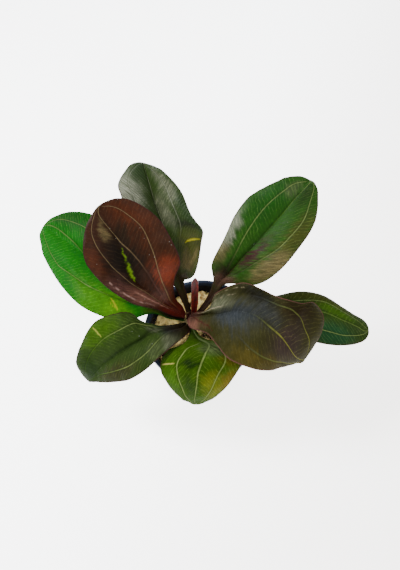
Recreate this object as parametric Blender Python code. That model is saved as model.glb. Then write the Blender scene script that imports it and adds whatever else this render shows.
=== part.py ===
"""A red pearl echinodorus growing in a small slotted nursery pot filled with mineral wool.

Origin at the centre of the pot's underside, +Z up, lengths in metres. Leaf points are in millimetres.
"""

import math

import bmesh
import bpy
from mathutils import Vector

MM = 0.001
SHARP_ANGLE = math.radians(40)

# Pot
POT_HEIGHT = 0.048
RIM_RADIUS = 0.028
RIM_DEPTH = 0.0028
RIM_STEP = 0.0011
BASE_RADIUS = 0.018
WALL = 0.001
BASE_THICKNESS = 0.0013
BASE_CORNER = 0.0008
SIDES = 36
SLOT_EVERY = 3
WALL_SLOT = (0.013, 0.040)
BASE_SLOT = (0.008, 0.015)
SLOT_BANDS = (3, 7)

# Mineral wool
GAP = 0.0003
WOOL_TOP = 0.042
WOOL_LUMP = 0.0006
LUMP_WAVES = (520.0, 460.0, 910.0)
LUMP_SHIFTS = (1.1, -0.4, 2.0)
SMALL_LUMP = 0.6
WOOL_DIP = 0.0030
WOOL_DIP_RADIUS = 0.009
WOOL_RINGS = 5

# Rootstock
CROWN_CENTRE = (-0.0035, 0.0080)
CROWN_RADIUS = 0.0023
CROWN_BOTTOM = 0.0375
CROWN_TOP = 0.0452
CROWN_SHAPE = ((0.75, 0.0), (1.0, 0.2), (1.0, 0.6), (0.85, 0.82), (0.55, 0.95))
CROWN_SIDES = 12

# Leaves, in millimetres
BLADE = 0.9
KEEL_WIDTH = 1.7
KEEL_DEPTHS = (1.2, 1.4, 1.1, 0.7, 0.5, 0.5, 0.4, 0.4, 0.3, 0.2, 0.2)
BULGE = 0.10
ACROSS = (-1.0, -0.66, -0.33, 0.0, 0.33, 0.66, 1.0)
STEPS = 2
TIP_TRIM = 0.06

# Rolled young leaf, in millimetres
SPEAR_PATH = ((-2.6, 8.7, 45.8), (-1.7, 10.8, 51.0), (-1.1, 12.5, 56.5), (-0.5, 14.4, 62.0),
              (-0.2, 15.4, 64.9), (0.0, 16.0, 66.5))
SPEAR_WIDTHS = (1.3, 1.8, 1.9, 1.85, 1.6, 0.7)
SPEAR_FLATTEN = 0.65
SPEAR_SIDES = 10
SPEAR_STEPS = 3

# Each leaf is three lines from its base to its tip, seen along its length with its upper face up:
# the left edge, the midrib and the right edge. The first three stations are the stalk.
LEAVES = {
    "leaf_back_left": dict(
        colour=(0.035, 0.07, 0.03),
        left=[(-6.2, 10.3, 44.5), (-8.5, 15, 52), (-11.5, 18, 62), (-20, 24.5, 72), (-25, 31, 83),
              (-28.5, 38.5, 91), (-30, 45.5, 96), (-31, 52, 99), (-25.5, 60.5, 101), (-19, 62.5, 100)],
        midrib=[(-5, 11, 44.5), (-6.5, 15.2, 52), (-8, 19, 61), (-9, 23.5, 67), (-10, 31, 75),
                (-13, 39.5, 83), (-15.5, 47, 89), (-17, 53, 95), (-18.5, 59, 99), (-19, 62.5, 100)],
        right=[(-3.8, 11.6, 44.5), (-4.8, 15.2, 52), (-5.5, 19, 62), (0, 15.5, 72), (4.5, 25.5, 82),
               (5.5, 28.5, 88), (1, 34, 93), (-2.5, 45, 97), (-10, 54, 101), (-19, 62.5, 100)],
    ),
    "leaf_red": dict(
        colour=(0.16, 0.035, 0.015),
        left=[(-7.4, 6.9, 45.4), (-13, 5.5, 52), (-20, 5, 61), (-28.5, 3.5, 70), (-36, 5.5, 78),
              (-41.5, 9, 84), (-46.5, 16, 89), (-46.5, 24, 94), (-43.5, 32, 98), (-37.5, 36.5, 102)],
        midrib=[(-7, 8.1, 45.4), (-10.3, 8, 52), (-16.5, 8.5, 60), (-22.5, 11.5, 67), (-27.5, 15, 73),
                (-29.5, 19.5, 79), (-32, 25.5, 86), (-35, 30.5, 92), (-37, 34, 98), (-37.5, 36.5, 102)],
        right=[(-6.6, 9.4, 45.4), (-7.8, 10.3, 52), (-10.5, 10.5, 62), (-9.5, 14.5, 71), (-6, 18.5, 79),
               (-8.5, 24.5, 86), (-13, 32, 93), (-19.5, 36.5, 98), (-27.5, 38.5, 102), (-37.5, 36.5, 102)],
    ),
    "leaf_left": dict(
        colour=(0.04, 0.25, 0.015),
        left=[(-7.6, 7, 42.6), (-14.5, 6, 48), (-23.5, 8.5, 51), (-36, 4, 54), (-46.5, 6.5, 56),
              (-57.5, 13, 58), (-68, 25, 59), (-77.5, 41, 58), (-83, 57, 57), (-83, 68, 57)],
        midrib=[(-7.5, 8, 42.6), (-14, 7.5, 48), (-21.8, 10.3, 51.5), (-32, 17, 54), (-39.5, 24.5, 56),
                (-50, 34.5, 58), (-61.5, 48, 59), (-72, 58, 58), (-79, 65, 57.5), (-83, 68, 57)],
        right=[(-7.3, 9, 42.6), (-13, 9.5, 48), (-20.5, 13, 53), (-27, 27.5, 57), (-31.5, 40.5, 61),
               (-39, 53.5, 64), (-51.5, 65.5, 65), (-64, 70.5, 64), (-74.5, 70.5, 61), (-83, 68, 57)],
    ),
    "leaf_front_left": dict(
        colour=(0.02, 0.07, 0.015),
        left=[(-5.6, 4.2, 43.6), (-6, -3.5, 49.5), (-14, -12.5, 55), (-20.5, -18.5, 56.5),
              (-26.5, -22.5, 54.5), (-34.5, -24, 49), (-43, -22.5, 43), (-51, -19.5, 37),
              (-56, -17.5, 34), (-60.5, -15, 32)],
        midrib=[(-6.6, 4.9, 43.6), (-10, 0, 49.5), (-18.5, -3.5, 54), (-24, -6, 55.5), (-29.5, -9, 55),
                (-36.5, -11, 52.5), (-43.5, -12.5, 48), (-50, -13.5, 43), (-56, -15, 37), (-60.5, -15, 32)],
        right=[(-7.4, 5.7, 43.6), (-13.5, 2, 49.5), (-21.5, 0, 54), (-27, 2, 57), (-33, 5.5, 60),
               (-41, 5, 60), (-50.5, 3.5, 56), (-58.5, -3, 49), (-63.5, -10, 41), (-60.5, -15, 32)],
    ),
    "leaf_front": dict(
        colour=(0.05, 0.16, 0.01),
        left=[(-3.1, 2.4, 43.8), (1, -6.5, 48.5), (9.5, -12, 53), (15.5, -18.5, 55), (17, -23.5, 53),
              (13.5, -27, 48), (9, -30, 41), (3.5, -32.5, 35), (-1, -33, 32), (-5.5, -33.5, 32)],
        midrib=[(-4.3, 2.5, 43.8), (-2, -5.5, 48.5), (2, -13, 54), (1.5, -18.5, 57),
                (0, -23.5, 57.5), (-2, -27.5, 55.5), (-3, -30.5, 50.5), (-4.5, -32.5, 43),
                (-5.5, -33, 37), (-5.5, -33.5, 32)],
        right=[(-5.3, 2.2, 43.8), (-6, -4.5, 48.5), (-9, -9.5, 51), (-16, -12, 50.5), (-19.5, -18, 51),
               (-19, -23.5, 47), (-15.5, -28.5, 40), (-11, -32, 35), (-8.5, -32.5, 32), (-5.5, -33.5, 32)],
    ),
    "leaf_front_right": dict(
        colour=(0.05, 0.045, 0.05),
        left=[(-1.4, 5.6, 44), (-4, 7, 49.3), (4, 4.5, 57), (9.5, 6, 69),
              (21, 5.5, 76), (28.5, 0, 79), (36, -6, 79), (43.5, -8.5, 78),
              (51, -7.5, 75), (54, -13.5, 68), (45.5, -25.5, 57)],
        midrib=[(-2.8, 5, 44), (-4.6, 6, 49), (1.5, 3.5, 53.5), (9, -1, 61.5),
                (17, -4, 68), (24.5, -9, 72), (30, -16, 73), (34.5, -20.5, 71),
                (38, -24, 67), (41.5, -26, 62), (45.5, -25.5, 57)],
        right=[(-4.2, 4.9, 44), (-6, 3.6, 49.5), (-4.5, -2, 52), (2.5, -7.5, 56),
               (6.5, -16, 61), (11, -23.5, 62), (19, -28, 61), (27.5, -29, 58),
               (35, -28, 56), (40.5, -27, 56), (45.5, -25.5, 57)],
    ),
    "leaf_right": dict(
        colour=(0.03, 0.13, 0.03),
        left=[(-0.2, 8.2, 43.3), (7.5, 5.5, 48), (22.5, 6.5, 53), (35.5, 8.5, 56), (48, 9, 57),
              (60, 7, 56), (69, 1, 54), (76, -3, 51), (79.5, -5.5, 49), (81, -10.5, 48)],
        midrib=[(-0.4, 7, 43.3), (7.5, 4, 48), (21.5, 2.5, 52), (35.5, 0, 54.5), (48.5, -1.5, 56),
                (60, -4, 55), (68.5, -7, 53), (75.5, -9.5, 50), (78, -11, 49), (81, -10.5, 48)],
        right=[(-0.5, 5.9, 43.3), (7, 2.5, 48), (21, -2.5, 53), (35, -10, 55), (47, -15, 55),
               (58.5, -18, 53), (68, -18, 50), (75, -16.5, 48), (78, -14.5, 48), (81, -10.5, 48)],
    ),
    "leaf_back_right": dict(
        colour=(0.04, 0.14, 0.02),
        left=[(-0.8, 10.6, 44.8), (5, 14, 53), (8.5, 16.5, 63), (8.5, 20, 73), (15, 26.5, 82),
              (21.5, 34.5, 90), (29, 39.5, 96), (40, 42, 100), (48.5, 43, 101), (55, 41, 100)],
        midrib=[(0.3, 9.9, 44.8), (6, 12.5, 53), (11, 15, 63), (17, 17, 69), (24.5, 20.5, 77),
                (32, 24, 84), (39.5, 28.5, 90), (46.5, 33, 96), (51.5, 37.5, 99), (55, 41, 100)],
        right=[(1.2, 9, 44.8), (7.5, 11, 53), (14, 14, 63), (27.5, 7, 71), (37.5, 8, 79),
               (47.5, 15.5, 86), (54.5, 23, 92), (57.5, 33, 97), (57, 37, 100), (55, 41, 100)],
    ),
}


def material(name, colour, roughness):
    made = bpy.data.materials.new(name)
    made.use_nodes = True
    shader = made.node_tree.nodes["Principled BSDF"]
    shader.inputs["Base Color"].default_value = (*colour, 1.0)
    shader.inputs["Roughness"].default_value = roughness
    shader.inputs["Metallic"].default_value = 0.0
    return made


def add_object(name, bm, colour, roughness, place=(0.0, 0.0, 0.0)):
    """Turns a bmesh into a named object whose faces point out, shaded smooth with its own material."""
    bmesh.ops.recalc_face_normals(bm, faces=bm.faces[:])
    mesh = bpy.data.meshes.new(name)
    bm.to_mesh(mesh)
    bm.free()
    mesh.shade_smooth()
    mesh.set_sharp_from_angle(angle=SHARP_ANGLE)
    mesh.materials.append(material(name, colour, roughness))
    made = bpy.data.objects.new(name, mesh)
    made.location = place
    bpy.context.scene.collection.objects.link(made)
    return made


def on_circle(radius, step, sides, z):
    angle = 2 * math.pi * step / sides
    return Vector((radius * math.cos(angle), radius * math.sin(angle), z))


def curve_point(before, start, end, after, t):
    """A point on a smooth curve from start to end that also heeds the points before and after."""
    return 0.5 * (
        2 * start
        + (end - before) * t
        + (2 * before - 5 * start + 4 * end - after) * t * t
        + (3 * start - before - 3 * end + after) * t * t * t
    )


def smooth_line(points, after_end, at):
    """The point at station number at of a smooth line. after_end is where the line heads past its end."""
    line = [2 * points[0] - points[1], *points, after_end]
    first = min(int(at), len(points) - 2)
    return curve_point(*line[first:first + 4], at - first)


def pot_profile():
    """Pairs of (outer, inner) points as (radius, height), from the rim's top to the base's middle.

    SLOT_BANDS counts the bands between these pairs: the wall's slots and the base's.
    """
    top_radius = RIM_RADIUS - RIM_STEP
    slope = (top_radius - BASE_RADIUS) / POT_HEIGHT

    def wall(z):
        radius = BASE_RADIUS + slope * z
        return (radius, z), (radius - WALL, z)

    rim_low = POT_HEIGHT - RIM_DEPTH
    floor_radius = BASE_RADIUS - WALL
    return [
        ((RIM_RADIUS, POT_HEIGHT), (RIM_RADIUS - 2 * WALL, POT_HEIGHT)),
        ((RIM_RADIUS, rim_low), (wall(rim_low)[1][0], rim_low)),
        wall(rim_low - WALL / 2),
        wall(WALL_SLOT[1]),
        wall(WALL_SLOT[0]),
        (wall(BASE_CORNER)[0], (floor_radius, BASE_THICKNESS + BASE_CORNER)),
        ((BASE_RADIUS - BASE_CORNER, 0.0), (floor_radius - BASE_CORNER, BASE_THICKNESS)),
        ((BASE_SLOT[1], 0.0), (BASE_SLOT[1], BASE_THICKNESS)),
        ((BASE_SLOT[0], 0.0), (BASE_SLOT[0], BASE_THICKNESS)),
    ]


def build_pot():
    """A turned pot made of cells, some of them left out as slots in its wall and its base."""
    bm = bmesh.new()
    profile = pot_profile()
    rings = []
    for outer, inner in profile:
        rings.append([
            (bm.verts.new(on_circle(outer[0], s, SIDES, outer[1])),
             bm.verts.new(on_circle(inner[0], s, SIDES, inner[1])))
            for s in range(SIDES)
        ])

    def is_solid(band, side):
        return not (band in SLOT_BANDS and side % SLOT_EVERY == 0)

    for side in range(SIDES):
        after = (side + 1) % SIDES
        for band in range(len(profile) - 1):
            if not is_solid(band, side):
                continue
            high, low = rings[band], rings[band + 1]
            bm.faces.new((high[side][0], high[after][0], low[after][0], low[side][0]))
            bm.faces.new((high[side][1], low[side][1], low[after][1], high[after][1]))
            if not is_solid(band, (side - 1) % SIDES):
                bm.faces.new((high[side][0], low[side][0], low[side][1], high[side][1]))
            if not is_solid(band, after):
                bm.faces.new((high[after][0], high[after][1], low[after][1], low[after][0]))
            if band > 0 and not is_solid(band - 1, side):
                bm.faces.new((high[side][0], high[side][1], high[after][1], high[after][0]))
            if not is_solid(band + 1, side):
                bm.faces.new((low[side][0], low[after][0], low[after][1], low[side][1]))
        top = rings[0]
        bm.faces.new((top[side][0], top[side][1], top[after][1], top[after][0]))
    disc = rings[-1]
    for face_side, z in ((0, 0.0), (1, BASE_THICKNESS)):
        middle = bm.verts.new((0.0, 0.0, z))
        for side in range(SIDES):
            bm.faces.new((disc[side][face_side], disc[(side + 1) % SIDES][face_side], middle))
    for side in range(0, SIDES, SLOT_EVERY):
        bm.faces.new((disc[side][0], disc[side][1], disc[side + 1][1], disc[side + 1][0]))
    return add_object("pot", bm, (0.01, 0.011, 0.014), 0.35)


def wool_height(x, y):
    """The lumpy top of the wool, from a few crossed waves, a little lower round the rootstock."""
    across, back, slanted = (
        place * wave + shift for place, wave, shift in zip((x, y, x - y), LUMP_WAVES, LUMP_SHIFTS)
    )
    wave = math.sin(across) * math.cos(back) + SMALL_LUMP * math.sin(slanted)
    from_crown = math.hypot(x - CROWN_CENTRE[0], y - CROWN_CENTRE[1])
    dip = WOOL_DIP * math.exp(-((from_crown / WOOL_DIP_RADIUS) ** 2))
    return WOOL_TOP + WOOL_LUMP * wave - dip


def build_wool():
    """The wool plug: a tapered plug with a lumpy top and a pit in it for the rootstock."""
    bm = bmesh.new()
    inner = [point[1] for point in pot_profile()]
    rim_in, slot_top, slot_low, floor_edge = inner[2], inner[3], inner[4], inner[6]
    above_slots = (WOOL_TOP - slot_top[1]) / (rim_in[1] - slot_top[1])
    top_radius = slot_top[0] + (rim_in[0] - slot_top[0]) * above_slots - 2 * GAP
    pit = Vector((*CROWN_CENTRE, 0.0))
    pit_radius = CROWN_RADIUS + GAP
    pit_floor = CROWN_BOTTOM - GAP
    outline = [
        (floor_edge[0] - GAP, BASE_THICKNESS + GAP),
        (slot_low[0] - GAP, slot_low[1]),
        (slot_top[0] - GAP, slot_top[1]),
    ]
    rings = [[bm.verts.new(on_circle(r, s, SIDES, z)) for s in range(SIDES)] for r, z in outline]
    for ring in range(WOOL_RINGS + 1):
        share = ring / WOOL_RINGS
        row = []
        for s in range(SIDES):
            outer = on_circle(top_radius, s, SIDES, 0.0)
            inside = pit + on_circle(pit_radius, s, SIDES, 0.0)
            place = outer.lerp(inside, share)
            place.z = wool_height(place.x, place.y)
            row.append(bm.verts.new(place))
        rings.append(row)
    rings.append([bm.verts.new(pit + on_circle(pit_radius, s, SIDES, pit_floor)) for s in range(SIDES)])
    for low, high in zip(rings[:-1], rings[1:]):
        for s in range(SIDES):
            after = (s + 1) % SIDES
            bm.faces.new((low[s], low[after], high[after], high[s]))
    bm.faces.new(rings[0][::-1])
    bm.faces.new(rings[-1])
    return add_object("wool_plug", bm, (0.66, 0.55, 0.33), 0.95)


def build_crown():
    """The short rootstock: a small turned bulb that stands in the wool's pit.

    CROWN_SHAPE holds (radius, height) as shares of CROWN_RADIUS and of the bulb's height.
    """
    bm = bmesh.new()
    height = CROWN_TOP - CROWN_BOTTOM
    rings = [
        [bm.verts.new(on_circle(CROWN_RADIUS * r, s, CROWN_SIDES, height * h)) for s in range(CROWN_SIDES)]
        for r, h in CROWN_SHAPE
    ]
    for low, high in zip(rings[:-1], rings[1:]):
        for s in range(CROWN_SIDES):
            after = (s + 1) % CROWN_SIDES
            bm.faces.new((low[s], low[after], high[after], high[s]))
    bm.faces.new(rings[0][::-1])
    peak = bm.verts.new((0.0, 0.0, height))
    for s in range(CROWN_SIDES):
        bm.faces.new((rings[-1][s], rings[-1][(s + 1) % CROWN_SIDES], peak))
    return add_object("crown", bm, (0.08, 0.03, 0.02), 0.6, (*CROWN_CENTRE, CROWN_BOTTOM))


def leaf_rows(leaf):
    """Rows of points across the leaf from base to tip, each with the keel's depth under its midrib."""
    left, midrib, right = ([Vector(p) for p in leaf[key]] for key in ("left", "midrib", "right"))
    last = len(midrib) - 1
    stations = [step / STEPS for step in range(last * STEPS)] + [last - TIP_TRIM]
    rows = []
    for at in stations:
        edge_left = smooth_line(left, right[-2], at)
        middle = smooth_line(midrib, 2 * midrib[-1] - midrib[-2], at)
        edge_right = smooth_line(right, left[-2], at)
        first = min(int(at), last - 1)
        share = at - first
        depth = KEEL_DEPTHS[first] * (1 - share) + KEEL_DEPTHS[first + 1] * share
        rows.append((edge_left, middle, edge_right, depth))
    return rows


def across_leaf(edge_left, middle, edge_right):
    """Points from the left edge over the midrib to the right edge, each half gently domed."""
    points = []
    for t in ACROSS:
        half = (edge_left if t < 0 else edge_right) - middle
        dome = half.length * BULGE * 4 * abs(t) * (1 - abs(t))
        points.append(middle + half * abs(t) + Vector((0.0, 0.0, dome)))
    return points


def surface_normal(grid, row, column):
    before, after = grid[max(row - 1, 0)][column], grid[min(row + 1, len(grid) - 1)][column]
    left, right = grid[row][max(column - 1, 0)], grid[row][min(column + 1, len(ACROSS) - 1)]
    return (right - left).cross(after - before).normalized()


def build_leaf(name, leaf):
    """One leaf as one solid: a narrow keeled stalk that widens into a thin blade."""
    rows = leaf_rows(leaf)
    grid = [across_leaf(*row[:3]) for row in rows]
    bm = bmesh.new()
    upper, lower = [], []
    for r, points in enumerate(grid):
        depth = rows[r][3]
        middle = points[len(ACROSS) // 2]
        top_row, bottom_row = [], []
        for c, point in enumerate(points):
            normal = surface_normal(grid, r, c)
            keel = depth * max(0.0, 1 - (point - middle).length / KEEL_WIDTH)
            top_row.append(bm.verts.new((point + normal * BLADE / 2) * MM))
            bottom_row.append(bm.verts.new((point - normal * (BLADE / 2 + keel)) * MM))
        upper.append(top_row)
        lower.append(bottom_row)
    last_column = len(ACROSS) - 1
    for r in range(len(grid) - 1):
        for c in range(last_column):
            bm.faces.new((upper[r][c], upper[r][c + 1], upper[r + 1][c + 1], upper[r + 1][c]))
            bm.faces.new((lower[r][c], lower[r + 1][c], lower[r + 1][c + 1], lower[r][c + 1]))
        for c in (0, last_column):
            bm.faces.new((upper[r][c], upper[r + 1][c], lower[r + 1][c], lower[r][c]))
    for r in (0, len(grid) - 1):
        for c in range(last_column):
            bm.faces.new((upper[r][c], upper[r][c + 1], lower[r][c + 1], lower[r][c]))
    return add_object(name, bm, leaf["colour"], 0.45)


def build_young_leaf():
    """The young leaf, still rolled: a flattened spindle that leans back."""
    path = [Vector(p) * MM for p in SPEAR_PATH]
    last = len(path) - 1
    bm = bmesh.new()
    rings = []
    for step in range(last * SPEAR_STEPS + 1):
        at = step / SPEAR_STEPS
        first = min(int(at), last - 1)
        share = at - first
        width = (SPEAR_WIDTHS[first] * (1 - share) + SPEAR_WIDTHS[first + 1] * share) * MM
        centre = smooth_line(path, 2 * path[-1] - path[-2], at)
        ring = []
        for s in range(SPEAR_SIDES):
            offset = on_circle(width, s, SPEAR_SIDES, 0.0)
            offset.y *= SPEAR_FLATTEN
            ring.append(bm.verts.new(centre + offset))
        rings.append(ring)
    for low, high in zip(rings[:-1], rings[1:]):
        for s in range(SPEAR_SIDES):
            after = (s + 1) % SPEAR_SIDES
            bm.faces.new((low[s], low[after], high[after], high[s]))
    bm.faces.new(rings[0][::-1])
    bm.faces.new(rings[-1])
    return add_object("young_leaf", bm, (0.2, 0.01, 0.015), 0.4)


def main():
    for thing in list(bpy.data.objects):
        bpy.data.objects.remove(thing)
    build_pot()
    build_wool()
    build_crown()
    for name, leaf in LEAVES.items():
        build_leaf(name, leaf)
    build_young_leaf()


main()
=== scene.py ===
"""The looks of a red pearl echinodorus in its nursery pot: leaves, pot, wool, light and camera."""

import math
import random
from functools import partial, reduce

import bmesh
import bpy
import numpy as np
from mathutils import Matrix, Vector, noise


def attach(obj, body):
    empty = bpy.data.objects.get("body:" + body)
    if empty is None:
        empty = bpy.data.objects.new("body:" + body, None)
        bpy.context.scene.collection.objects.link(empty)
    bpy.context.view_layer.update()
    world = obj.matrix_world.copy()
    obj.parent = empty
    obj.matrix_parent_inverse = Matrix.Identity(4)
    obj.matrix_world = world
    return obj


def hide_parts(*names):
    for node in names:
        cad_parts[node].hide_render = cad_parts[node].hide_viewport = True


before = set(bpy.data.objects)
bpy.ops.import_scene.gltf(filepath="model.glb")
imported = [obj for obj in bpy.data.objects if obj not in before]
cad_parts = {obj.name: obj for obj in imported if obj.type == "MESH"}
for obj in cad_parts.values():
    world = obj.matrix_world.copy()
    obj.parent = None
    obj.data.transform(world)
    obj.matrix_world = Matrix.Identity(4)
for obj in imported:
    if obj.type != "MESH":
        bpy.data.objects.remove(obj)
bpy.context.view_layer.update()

MM = 0.001
BODY = "root"

# Camera, found from the outline of the pot's rim in the photograph of 400 x 570 pixels
IMAGE_SIZE = (400, 570)
FOCAL_PIXELS = 420.0
CAMERA_TILT = 57.5
CAMERA_ROLL = -5.5
RIM_CENTRE_PIXEL = (200.0, 326.5)
RIM_HALF_WIDTH_PIXELS = 56.5
SENSOR = 36.0

# Pot, wool and rootstock, as in the solids
POT_HEIGHT = 0.048
RIM_RADIUS = 0.028
RIM_DEPTH = 0.0028
RIM_STEP = 0.0011
BASE_RADIUS = 0.018
WALL = 0.001
BASE_THICKNESS = 0.0013
WALL_SLOT = (0.013, 0.040)
BASE_SLOT = (0.008, 0.015)
SLOTS = 12
SLOT_SHARE = 1 / 3
WOOL_TOP = 0.0418
WOOL_FIBRES = 5200
CROWN_CENTRE = (-0.0035, 0.0080)
CROWN_RADIUS = 0.0023
CROWN_BOTTOM = 0.0375
CROWN_TOP = 0.0452

# Rolled young leaf, in millimetres, as in the solid
SPEAR_PATH = ((-2.6, 8.7, 45.8), (-1.7, 10.8, 51.0), (-1.1, 12.5, 56.5), (-0.5, 14.4, 62.0),
              (-0.2, 15.5, 65.3), (0.0, 16.2, 67.3))
SPEAR_WIDTHS = (1.4, 1.95, 2.1, 2.05, 1.85, 0.9)
SPEAR_FLATTEN = 0.65

# Leaf colours are written as they show, and PAINT_GAIN makes up for the strong light on them
PAINT_GAIN = 0.45
FLOOR_GLOW = 4.2
FLOOR_REACH = 3.0
SKY_STRENGTH = 1.25


def srgb(code):
    """Linear red, green and blue of a colour as the eye sees it, written in hexadecimal."""
    parts = [int(code[i:i + 2], 16) / 255 for i in (0, 2, 4)]
    return np.array([c / 12.92 if c <= 0.04045 else ((c + 0.055) / 1.055) ** 2.4 for c in parts])


def paint(code):
    """The surface colour that shows as the given colour under this scene's light."""
    return srgb(PALETTE.get(code, code)) * PAINT_GAIN


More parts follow.
